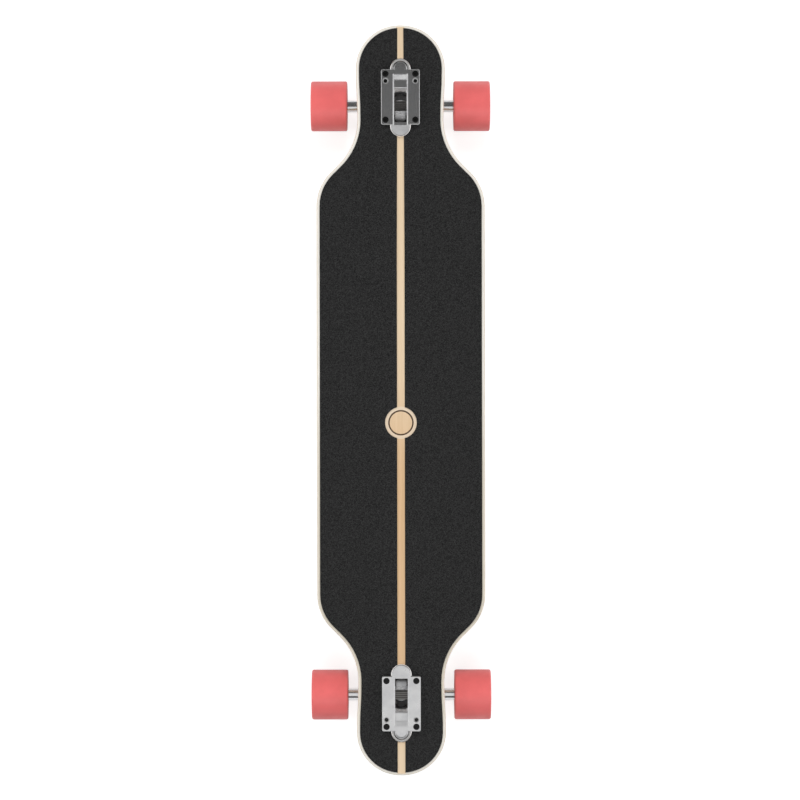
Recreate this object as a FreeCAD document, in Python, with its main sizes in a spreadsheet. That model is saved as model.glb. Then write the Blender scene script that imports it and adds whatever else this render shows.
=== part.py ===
import FreeCAD, Part
import math
import os
import re
import Sketcher

# Drop-through longboard: a laminated maple deck with grip tape, two leaning-kingpin trucks and four wheels.
# Frame: ground under the deck's centre at the origin, +Y to the nose, +X to the rider's right, +Z up.

doc = FreeCAD.newDocument("longboard")
Vector = FreeCAD.Vector
UP = Vector(0, 0, 1)
TINY = 1e-6                      # lengths and volumes smaller than this count as nothing
UPRIGHT = 0.01                   # a face whose normal rises less than this stands upright
OVERREACH = 1.1                  # deck layers are pressed this much wider than the finished board

SIZES = {
    # Deck outline, seen from above, the same at the nose and at the tail.
    "board_length": 1041,
    "board_width": 233,
    "neck_width": 119.4,
    "end_width": 123.6,
    "tip_extra_radius": 8,       # how much blunter the tip is than the shoulders beside it
    "tip_half_angle": 13,        # where the blunt tip runs into the shoulders
    "flare_start": 251.5,        # from each tip back to the end of the straight sides
    "flare_angle": 45,
    "flare_out_radius": 66,
    "flare_in_radius": 88,
    # Deck laminate and its raised edges.
    "veneer_thickness": 1.5,
    "core_thickness": 8.92,
    "glue_line": 0.04,           # between the layers of the deck, and under the grip tape
    "flat_width": 60,
    "concave_radius": 480,
    "edge_radius": 4,
    # Grip tape, the bare stripe between its halves and the round bare badge.
    "grip_thickness": 0.9,
    "grip_margin": 0.3,
    "stripe_width": 10.7,
    "stripe_nose_width": 8.2,    # at the tip of the nose
    "stripe_taper": 320,         # from the nose back to the full width
    "badge_diameter": 44,
    "badge_offset": 31,          # from the middle towards the tail
    # Where the trucks sit.
    "truck_inset": 100.5,        # middle of the bolt pattern, from the tip
    "axle_setback": 6,           # the axle lies this much nearer the board's middle
    "truck_height": 70,          # from the axle to the top of the baseplate
    "steer_angle": 50,           # steering axis, above the horizontal
    "rake": 18,                  # from the steering axis down to the axle
    "ring_distance": 34,         # along the steering axis, from beside the axle up to the ring
    "pivot_distance": 10,        # along the steering axis, from beside the axle down to the pivot
    # Baseplate.
    "flange_width": 53.5,
    "flange_length": 76.4,
    "flange_thickness": 8,
    "flange_corner": 2.5,
    "flange_bevel": 0.8,
    "plug_width": 26.4,
    "plug_length": 106,
    "plug_depth": 13.5,
    "cutout_clearance": 1,
    "nose_inset": 2.5,
    "nose_round": 5,
    "lip_drop": 5.5,
    "tab_fall": 2.8,             # at the tip of the sloping inner tab
    "window_width": 17.5,
    "window_bevel": 1.9,
    "window_bevel_depth": 1.5,
    "window_inner_end": 39,
    "window_outer_end": 32,
    "opening_outer_end": 12.5,
    "floor_outer_end": 24.5,
    "floor_depth": 7.5,
    "step_depth": 3.5,           # at the foot of the sloping step beyond the floor
    "step_top_depth": 1.2,
    "floor_ease": 1.4,           # the floor's inner edge, eased over this length
    "floor_ease_depth": 0.45,
    "slab_depth": 9.5,           # top of the kingpin's seat below the baseplate's face
    "slab_thickness": 15.4,
    "ridge_foot": 3,             # spread of the ridge that the kingpin's head sits on
    "tower_width": 22,
    "tower_setback": 45.5,
    "tower_shoulder": 5,
    "tower_round": 3,
    "head_room": 8.6,            # half the pocket of the kingpin's head
    "head_gap": 0.5,
    "boss_wall": 2.5,
    # Mounting bolts and nuts.
    "bolt_spacing_across": 41.3,
    "bolt_spacing_along": 63.5,
    "spare_spacing_along": 53.98,
    "bolt_diameter": 4.8,
    "bolt_clearance": 0.35,
    "bolt_head_diameter": 8.7,
    "bolt_head_height": 2.4,
    "bolt_head_round": 1.5,
    "bolt_socket": 3.2,
    "bolt_socket_depth": 1.4,
    "bolt_nut_width": 8.7,
    "bolt_nut_height": 5.5,
    "bolt_tail": 1.5,
    "dimple_diameter": 4.4,
    "dimple_depth": 0.4,
    # Kingpin, bushings and washers.
    "kingpin_diameter": 9.5,
    "kingpin_clearance": 0.05,
    "kingpin_head_width": 14.3,
    "kingpin_head_height": 5,
    "kingpin_nut_width": 14.3,
    "kingpin_nut_height": 8,
    "kingpin_tail": 3,
    "bushing_diameter": 24,
    "bushing_bore_clearance": 0.4,
    "boardside_height": 14,
    "roadside_height": 12,
    "roadside_top_diameter": 19,
    "washer_thickness": 2,
    "boardside_washer_diameter": 26,
    "roadside_washer_diameter": 22,
    "bushing_room": 0.6,
    # Hanger and its pivot.
    "hanger_length": 180,
    "shaft_diameter": 17,
    "collar_diameter": 19,
    "collar_length": 92,
    "collar_taper": 9,
    "ring_diameter": 32,
    "ring_thickness": 8,
    "ring_bore": 16,
    "web_start": 13,
    "web_root": 14,
    "web_round": 2,
    "web_width": 92,
    "web_top_width": 27,
    "arm_width": 16,
    "arm_reach": 4,
    "pivot_diameter": 11,
    "pivot_reach": 5,
    "pivot_taper": 2.5,
    "pivot_neck": 3,
    "running_clearance": 0.08,
    "cup_wall": 2.4,
    "cup_floor": 2,
    # Axle, nuts and washers.
    "axle_diameter": 8,
    "axle_clearance": 0.03,
    "axle_reach": 34,            # beyond each end of the hanger
    "axle_nut_width": 12.7,
    "axle_nut_height": 6.8,
    "speed_washer_diameter": 11,
    "speed_washer_thickness": 0.5,
    # Bearings.
    "bearing_diameter": 22,
    "bearing_width": 7,
    "bearing_ring_wall": 1.5,
    "ball_clearance": 0.05,
    "ball_count": 7,
    "shield_thickness": 0.4,
    "shield_inset": 0.4,
    "shield_gap": 0.3,
    "spacer_length": 10,
    "spacer_wall": 1.3,
    "hub_ledge": 2,
    # Wheels.
    "wheel_diameter": 70,
    "wheel_width": 51,
    "wheel_edge_radius": 2.5,
    "wheel_mouth_diameter": 38,
    "hub_wall": 5,
    "tyre_setoff": 2.4,          # the tyre's middle lies this much nearer the hanger than the hub's
}

# Sizes that follow from the ones above, so that pieces that meet share one value.
FITS = {
    "straight_side": "board_length - 2 * flare_start",
    "truck_station": "board_length / 2 - truck_inset",
    "axle_length": "hanger_length + 2 * axle_reach",
    "axle_height": "wheel_diameter / 2",
    "plate_top": "axle_height + truck_height",
    "deck_top": "plate_top - flange_thickness",
    "deck_thickness": "core_thickness + 2 * (veneer_thickness + glue_line)",
    "deck_bottom": "deck_top - deck_thickness",
    "core_low": "veneer_thickness + glue_line",
    "axle_along": "-axle_setback",
    "ring_along": "axle_along - rake * sin(steer_angle) + ring_distance * cos(steer_angle)",
    "ring_height": "axle_height + rake * cos(steer_angle) + ring_distance * sin(steer_angle)",
    # Distances along the kingpin, from the middle of the ring towards the road.
    "ring_face": "ring_thickness / 2",
    "boardside_top": "-(ring_face + boardside_height)",
    "seat": "boardside_top - washer_thickness",
    "head_seat": "seat - slab_thickness",
    "roadside_end": "ring_face + roadside_height",
    "nut_seat": "roadside_end + washer_thickness",
    "kingpin_end": "nut_seat + kingpin_nut_height + kingpin_tail",
    "washer_room": "boardside_washer_diameter / 2 + bushing_room",
    "plug_bottom": "plate_top - plug_depth",
    "plug_end": "(plug_length - plug_width) / 2",
    "slab_top": "plate_top - slab_depth",
    "slab_edge": "ring_along + seat * sin(steer_angle)"
                 " + (slab_top - ring_height + seat * cos(steer_angle)) / tan(steer_angle)",
    # Distances along the steering axis, from the middle of the ring upwards.
    "axle_level": "-ring_distance",
    "pivot_centre": "axle_level - pivot_distance",
    "pivot_tip": "pivot_centre - pivot_reach",
    "arm_end": "axle_level - arm_reach",
    "cup_mouth": "pivot_centre + pivot_neck",
    "cup_end": "pivot_tip - running_clearance - cup_floor",
    "cup_radius": "pivot_diameter / 2 + running_clearance + cup_wall",
    "boss_radius": "cup_radius + boss_wall",
    "boss_end": "cup_end - boss_wall",
    # Fits of the fasteners, bearings and wheels.
    "bolt_reach": "flange_thickness + deck_thickness + bolt_nut_height + bolt_tail",
    "bolt_hole": "bolt_diameter / 2 + bolt_clearance",
    "axle_hole": "axle_diameter / 2 + axle_clearance",
    "inner_ring_radius": "axle_diameter / 2 + bearing_ring_wall",
    "outer_ring_bore": "bearing_diameter / 2 - bearing_ring_wall",
    "ball_pitch": "(inner_ring_radius + outer_ring_bore) / 2",
    "ball_radius": "(outer_ring_bore - inner_ring_radius) / 2 - ball_clearance",
    "hub_half": "bearing_width + spacer_length / 2",
    "hub_radius": "bearing_diameter / 2 + hub_wall",
    "wheel_offset": "hanger_length / 2 + speed_washer_thickness + hub_half",
    "bearing_offset": "(bearing_width + spacer_length) / 2",
}


def bound(formula, own=()):
    """A formula of plain size names, written with the sheet that holds each name."""
    def place(match):
        word = match.group(0)
        if word in own:
            return word
        if word in SIZES:
            return "sizes." + word
        return "fits." + word if word in FITS else word
    return re.sub("[a-z_]+", place, formula)


def fill_sheet(name, cells):
    """A sheet with one named cell in each row."""
    sheet = doc.addObject("Spreadsheet::Sheet", name)
    for row, alias in enumerate(cells, start=1):
        sheet.set("A%d" % row, alias)
        sheet.setAlias("B%d" % row, alias)
    for row, content in enumerate(cells.values(), start=1):
        sheet.set("B%d" % row, content)
    doc.recompute()
    return sheet


sizes = fill_sheet("sizes", {alias: str(number) for alias, number in SIZES.items()})
fits = fill_sheet("fits", {alias: "=" + bound(formula, FITS) for alias, formula in FITS.items()})


def value(formula):
    """The number that a formula of size names gives now."""
    return float(sizes.evalExpression(bound(formula)))


def tie(item, path, formula):
    """Binds one property of a document object to a formula of size names."""
    item.setExpression(path, bound(formula))


nodes = []
cutters = []


def keep(item, label):
    """Marks a document object as one of the board's pieces, under its own name."""
    item.Label = label
    nodes.append(item)
    return item


def new_sketch(body, name, role, offset):
    """A sketch on one of its body's origin planes, moved along the plane's normal."""
    sketch = body.newObject("Sketcher::SketchObject", name)
    plane = next(plane for plane in body.Origin.OriginFeatures if plane.Role == role)
    sketch.AttachmentSupport = [(plane, "")]
    sketch.MapMode = "FlatFace"
    if offset:
        tie(sketch, "AttachmentOffset.Base.z", offset)
    return sketch


def tie_point(sketch, edge, end, across, up):
    """Fixes one end of a sketch edge at two formulas, measured from the sketch's origin."""
    for kind, formula in (("DistanceX", across), ("DistanceY", up)):
        number = sketch.addConstraint(Sketcher.Constraint(kind, -1, 1, edge, end, value(formula)))
        tie(sketch, "Constraints[%d]" % number, formula)


def sign(number):
    """Plus one, nought or minus one."""
    return (number > TINY) - (number < -TINY)


def tangent_points(corners, index):
    """The two ends of the arc that rounds a square corner, each moved along its edge by the radius."""
    across, up, radius = corners[index]
    ends = []
    for other in (corners[index - 1], corners[(index + 1) % len(corners)]):
        aside = sign(value(other[0]) - value(across))
        above = sign(value(other[1]) - value(up))
        ends.append(("%s + %d * (%s)" % (across, aside, radius), "%s + %d * (%s)" % (up, above, radius)))
    return ends


def polygon(body, name, role, corners, offset="", axis=None):
    """A closed outline through pairs of formulas. A third formula rounds a square corner by that radius.
    Two more points may give an axis to turn the outline about."""
    sketch = new_sketch(body, name, role, offset)
    points = []
    rounded = {}
    for index, corner in enumerate(corners):
        if len(corner) == 2:
            points.append(corner)
            continue
        rounded[len(points)] = corner
        points.extend(tangent_points(corners, index))
    places = [Vector(value(across), value(up), 0) for across, up in points]
    count = len(points)
    starts = []
    for index, start in enumerate(places):
        end = places[(index + 1) % count]
        if index not in rounded:
            sketch.addGeometry(Part.LineSegment(start, end))
            starts.append(1)
            continue
        corner = Vector(value(rounded[index][0]), value(rounded[index][1]), 0)
        centre = start + end - corner
        leftward = (corner - start).cross(end - corner).z > 0
        first, last = (start, end) if leftward else (end, start)
        turn_from = math.atan2(first.y - centre.y, first.x - centre.x)
        circle = Part.Circle(centre, UP, value(rounded[index][2]))
        sketch.addGeometry(Part.ArcOfCircle(circle, turn_from, turn_from + math.pi / 2))
        starts.append(1 if leftward else 2)
    for index, (across, up) in enumerate(points):
        following = (index + 1) % count
        ends = (index, 3 - starts[index], following, starts[following])
        sketch.addConstraint(Sketcher.Constraint("Coincident", *ends))
        tie_point(sketch, index, starts[index], across, up)
        if index in rounded:
            radius = rounded[index][2]
            number = sketch.addConstraint(Sketcher.Constraint("Radius", index, value(radius)))
            tie(sketch, "Constraints[%d]" % number, radius)
    if axis:
        ends = [Vector(value(across), value(up), 0) for across, up in axis]
        line = sketch.addGeometry(Part.LineSegment(*ends), True)
        for end, (across, up) in enumerate(axis, start=1):
            tie_point(sketch, line, end, across, up)
    return sketch


def circles(body, name, role, rounds, offset=""):
    """A sketch of separate circles, each given by its middle and its radius."""
    sketch = new_sketch(body, name, role, offset)
    for across, up, radius in rounds:
        middle = Vector(value(across), value(up), 0)
        edge = sketch.addGeometry(Part.Circle(middle, UP, value(radius)))
        tie_point(sketch, edge, 3, across, up)
        number = sketch.addConstraint(Sketcher.Constraint("Radius", edge, value(radius)))
        tie(sketch, "Constraints[%d]" % number, radius)
    return sketch


def raise_up(body, kind, sketch, length, symmetric=False, backwards=False):
    """A Pad or a Pocket of a sketch, to one side of it or half to each side."""
    feature = body.newObject("PartDesign::" + kind, kind.lower() + "_" + sketch.Name)
    feature.Profile = sketch
    feature.SideType = "Symmetric" if symmetric else "One side"
    feature.Reversed = backwards
    tie(feature, "Length", length)
    if kind == "Pocket":
        cutters.append(feature)
    return feature


def turn(body, kind, sketch, axis="V_Axis"):
    """A Revolution or a Groove of a sketch, a full turn about an axis of that sketch."""
    feature = body.newObject("PartDesign::" + kind, kind.lower() + "_" + sketch.Name)
    feature.Profile = sketch
    feature.ReferenceAxis = (sketch, [axis])
    feature.Angle = 360
    if kind == "Groove":
        cutters.append(feature)
    return feature


def round_over(body, name, wanted, radius):
    """Fillets the edges of a body's shape so far that a test picks out."""
    doc.recompute()
    base = body.Tip
    picked = ["Edge%d" % number for number, edge in enumerate(base.Shape.Edges, start=1) if wanted(edge)]
    fillet = body.newObject("PartDesign::Fillet", name)
    fillet.Base = (base, picked)
    tie(fillet, "Radius", radius)
    return fillet


def place(item, across="0", along="0", up="0", axis=UP, angle="0"):
    """Puts an object at a point given by formulas, turned about an axis."""
    item.Placement = FreeCAD.Placement(Vector(), FreeCAD.Rotation(axis, 1))
    for path, formula in (("Base.x", across), ("Base.y", along), ("Base.z", up), ("Rotation.Angle", angle)):
        tie(item, "Placement." + path, formula)


def turned_piece(name, profile):
    """A round piece: a profile of radius and height, turned about the upright axis."""
    body = doc.addObject("PartDesign::Body", name)
    turn(body, "Revolution", polygon(body, name + "_profile", "XZ_Plane", profile))
    return body


def tube_profile(inner, outer, low, high):
    return [(inner, low), (outer, low), (outer, high), (inner, high)]


def hexagon(width):
    """The corners of a hexagon from its width across the flats, with a flat to each side."""
    reach = "(%s) / 2 / cos(30)" % width
    return [("%s * cos(%d)" % (reach, 60 * step + 30), "%s * sin(%d)" % (reach, 60 * step + 30))
            for step in range(6)]


def group(label, master, spots):
    """Copies of one master piece as a group of separate solids."""
    copies = []
    for spot in spots:
        copy = doc.addObject("App::Link", "copy_" + label)
        copy.LinkedObject = master
        copy.LinkTransform = False
        place(copy, *spot)
        copies.append(copy)
    bunch = doc.addObject("Part::Compound", label)
    bunch.Links = copies
    return keep(bunch, label)


# Deck. The outline is drawn for one corner with arcs and mirrored, and can be drawn smaller all round.
def corner_outline(inset):
    """Edges of a quarter of the outline, from the straight side to the tip."""
    side = sizes.board_width / 2
    neck = sizes.neck_width / 2
    wide = sizes.end_width / 2
    lean = math.radians(sizes.flare_angle)
    blunt = math.radians(sizes.tip_half_angle)
    aside = Vector(math.cos(lean), math.sin(lean), 0)
    ahead = Vector(-math.sin(lean), math.cos(lean), 0)
    # The flare: a bulging arc, a straight run and a hollow arc that ends along the neck.
    out_centre = Vector(side - sizes.flare_out_radius, fits.straight_side / 2, 0)
    bulge_end = out_centre + aside * sizes.flare_out_radius
    hollow_x = neck + sizes.flare_in_radius
    run = (bulge_end.x + sizes.flare_in_radius * aside.x - hollow_x) / aside.y
    in_centre = bulge_end + ahead * run + aside * sizes.flare_in_radius
    out_radius = sizes.flare_out_radius - inset
    in_radius = sizes.flare_in_radius + inset
    # The end: a shoulder arc and a blunter tip arc that share a tangent.
    offset = sizes.tip_extra_radius * math.sin(blunt)
    shoulder = wide - offset
    tip_radius = shoulder + sizes.tip_extra_radius
    tip_centre = Vector(0, sizes.board_length / 2 - tip_radius, 0)
    shoulder_direction = Vector(math.sin(blunt), math.cos(blunt), 0)
    shoulder_centre = tip_centre + shoulder_direction * sizes.tip_extra_radius
    halfway = math.radians(45) - blunt / 2

    def on_arc(centre, radius, angle):
        return centre + Vector(math.cos(angle), math.sin(angle), 0) * radius

    def arc(centre, radius, first, middle, last):
        return Part.Arc(*[on_arc(centre, radius, angle) for angle in (first, middle, last)]).toShape()

    flank = on_arc(out_centre, out_radius, 0)
    bulge = on_arc(out_centre, out_radius, lean)
    hollow = on_arc(in_centre, in_radius, math.pi + lean)
    waist = on_arc(in_centre, in_radius, math.pi)
    cheek = on_arc(shoulder_centre, shoulder - inset, 0)
    middle_y = (waist.y + cheek.y) / 2
    swell = Part.BezierCurve()
    swell.setPoles([waist, Vector(waist.x, middle_y, 0), Vector(cheek.x, middle_y, 0), cheek])
    tip_angle = math.pi / 2 - blunt
    return [
        Part.LineSegment(Vector(flank.x, 0, 0), flank).toShape(),
        arc(out_centre, out_radius, 0, lean / 2, lean),
        Part.LineSegment(bulge, hollow).toShape(),
        arc(in_centre, in_radius, math.pi + lean, math.pi + lean / 2, math.pi),
        swell.toShape(),
        arc(shoulder_centre, shoulder - inset, 0, halfway, tip_angle),
        arc(tip_centre, tip_radius - inset, tip_angle, (tip_angle + math.pi / 2) / 2, math.pi / 2),
    ]


def outline_prism(inset, low, high):
    """An upright prism of the whole outline."""
    edges = corner_outline(inset)
    edges += [edge.mirror(Vector(), Vector(1, 0, 0)) for edge in edges]
    edges += [edge.mirror(Vector(), Vector(0, 1, 0)) for edge in edges]
    wire = Part.Wire(Part.__sortEdges__(edges))
    wire.translate(Vector(0, 0, low))
    return Part.Face(wire).extrude(Vector(0, 0, high - low))


def laminate(low, high):
    """A layer between two heights above the deck's underside: flat in the middle, with edges that rise."""
    flat = sizes.flat_width / 2
    centre_z = fits.deck_bottom + sizes.concave_radius
    spread = OVERREACH * math.asin((sizes.board_width / 2 - flat) / (sizes.concave_radius - high))
    reach = sizes.board_length / 2 + sizes.edge_radius

    def at(side, height, angle):
        radius = sizes.concave_radius - height
        return Vector(side * (flat + radius * math.sin(angle)), -reach, centre_z - radius * math.cos(angle))

    def surface(height):
        left = Part.Arc(at(-1, height, spread), at(-1, height, spread / 2), at(-1, height, 0)).toShape()
        level = Part.LineSegment(at(-1, height, 0), at(1, height, 0)).toShape()
        right = Part.Arc(at(1, height, 0), at(1, height, spread / 2), at(1, height, spread)).toShape()
        return [left, level, right]

    ends = [Part.LineSegment(at(side, low, spread), at(side, high, spread)).toShape() for side in (-1, 1)]
    section = Part.Wire(Part.__sortEdges__(surface(low) + surface(high) + ends))
    return Part.Face(section).extrude(Vector(0, 2 * reach, 0))


def slot_prism(width, length, middle, low, high):
    """An upright prism with round ends, lengthways along the board."""
    straight = length - width
    prism = Part.makeBox(width, straight, high - low, Vector(-width / 2, middle - straight / 2, low))
    for end in (-1, 1):
        centre = Vector(0, middle + end * straight / 2, low)
        prism = prism.fuse(Part.makeCylinder(width / 2, high - low, centre))
    return prism.removeSplitter()


def below_deck():
    return fits.deck_bottom - sizes.edge_radius


def above_deck():
    """Higher than the raised edges of the deck."""
    return fits.deck_top + sizes.board_width


def deck_cuts():
    """The slots that the baseplates drop through, and the holes for their bolts."""
    cuts = []
    width = sizes.plug_width + 2 * sizes.cutout_clearance
    length = sizes.plug_length + 2 * sizes.cutout_clearance
    for end in (-1, 1):
        station = end * fits.truck_station
        cuts.append(slot_prism(width, length, station, below_deck(), above_deck()))
        for across in (-1, 1):
            for along in (-1, 1):
                spot = Vector(across * sizes.bolt_spacing_across / 2,
                              station + along * sizes.bolt_spacing_along / 2, below_deck())
                cuts.append(Part.makeCylinder(fits.bolt_hole, above_deck() - below_deck(), spot))
    return cuts


def rounded_blank():
    """The pressed laminate in one, cut to its outline, with its upper and lower edges rounded over."""
    slab = laminate(0, fits.deck_thickness)
    blank = slab.common(outline_prism(0, below_deck(), above_deck())).Solids[0]
    rim = []
    for edge in blank.Edges:
        faces = blank.ancestorsOfType(edge, Part.Face)
        normals = [face.normalAt(*face.Surface.parameter(edge.CenterOfMass)) for face in faces]
        if sorted(abs(normal.z) < UPRIGHT for normal in normals) == [False, True]:
            rim.append(edge)
    return blank.makeFillet(sizes.edge_radius, rim)


blank = rounded_blank()
for label, low, high in (
        ("deck_bottom_veneer", 0, sizes.veneer_thickness),
        ("deck_core", fits.core_low, fits.core_low + sizes.core_thickness),
        ("deck_top_veneer", fits.deck_thickness - sizes.veneer_thickness, fits.deck_thickness)):
    layer = keep(doc.addObject("Part::Feature", label), label)
    layer.Shape = blank.common(laminate(low, high)).cut(deck_cuts()).Solids[0]


# Grip tape. Two halves on the top veneer, cut round the bare stripe, the badge and the baseplates.
def stripe_prism(low, tall):
    """The bare stripe, as wide along the board until it narrows towards the nose."""
    half = sizes.stripe_width / 2
    nose = sizes.stripe_nose_width / 2
    tip = sizes.board_length / 2
    bend = tip - sizes.stripe_taper
    corners = [(-half, -tip), (half, -tip), (half, bend), (nose, tip), (-nose, tip), (-half, bend)]
    outline = Part.makePolygon([Vector(x, y, low) for x, y in corners + corners[:1]])
    return Part.Face(outline).extrude(Vector(0, 0, tall))


def tape_cuts():
    low = below_deck()
    tall = above_deck() - low
    badge = Vector(0, -sizes.badge_offset, low)
    cuts = [stripe_prism(low, tall), Part.makeCylinder(sizes.badge_diameter / 2, tall, badge)]
    width = sizes.flange_width + 2 * sizes.grip_margin
    flange = sizes.flange_length + 2 * sizes.grip_margin
    for end in (-1, 1):
        station = end * fits.truck_station
        cuts.append(Part.makeBox(width, flange, tall, Vector(-width / 2, station - flange / 2, low)))
        cuts.append(slot_prism(sizes.plug_width + 2 * sizes.cutout_clearance,
                               sizes.plug_length + 2 * sizes.cutout_clearance, station, low, low + tall))
    return cuts


tape = laminate(fits.deck_thickness + sizes.glue_line, fits.deck_thickness + sizes.grip_thickness)
tape = tape.common(outline_prism(sizes.edge_radius + sizes.grip_margin, below_deck(), above_deck()))
halves = sorted(tape.cut(tape_cuts()).Solids, key=lambda half: half.CenterOfMass.x)
for label, half in zip(("grip_tape_left", "grip_tape_right"), halves):
    keep(doc.addObject("Part::Feature", label), label).Shape = half


# Trucks. Each is drawn about the middle of its bolt pattern, with +Y outwards, and turned round for the tail.
ACROSS = Vector(0, 1, 0)
SIDEWAYS = Vector(1, 0, 0)


def leaning(rise, drop):
    """A point in the truck's upright middle plane, given from the middle of the ring:
    rise goes up along the steering axis, drop goes along the kingpin towards the road."""
    along = "ring_along + (%s) * cos(steer_angle) + (%s) * sin(steer_angle)" % (rise, drop)
    up = "ring_height + (%s) * sin(steer_angle) - (%s) * cos(steer_angle)" % (rise, drop)
    return along, up


def leaning_box(rises, drops):
    """A rectangle square to the kingpin, from two rises and two drops."""
    low, high = rises
    near, far = drops
    return [leaning(low, near), leaning(high, near), leaning(high, far), leaning(low, far)]


def place_on_truck(item, end, height="0"):
    """Puts a piece drawn about the bolt pattern on the front truck, or turned round on the rear one."""
    place(item, along="%d * truck_station" % end, up=height, angle="0" if end > 0 else "180")


def place_on_kingpin(item, end):
    """Puts a round piece drawn along the kingpin, from the middle of the ring."""
    place(item, along="%d * (truck_station + ring_along)" % end, up="ring_height",
          axis=SIDEWAYS, angle="180 + %d * steer_angle" % end)


def place_on_axle(item, end, across="0"):
    """Puts a round piece drawn along the axle."""
    place(item, across=across, along="%d * (truck_station + axle_along)" % end, up="axle_height",
          axis=ACROSS, angle="90")


def four_spots(across, along, up="0"):
    return [("%d * (%s)" % (right, across), "%d * (%s)" % (ahead, along), up)
            for right in (-1, 1) for ahead in (-1, 1)]


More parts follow.
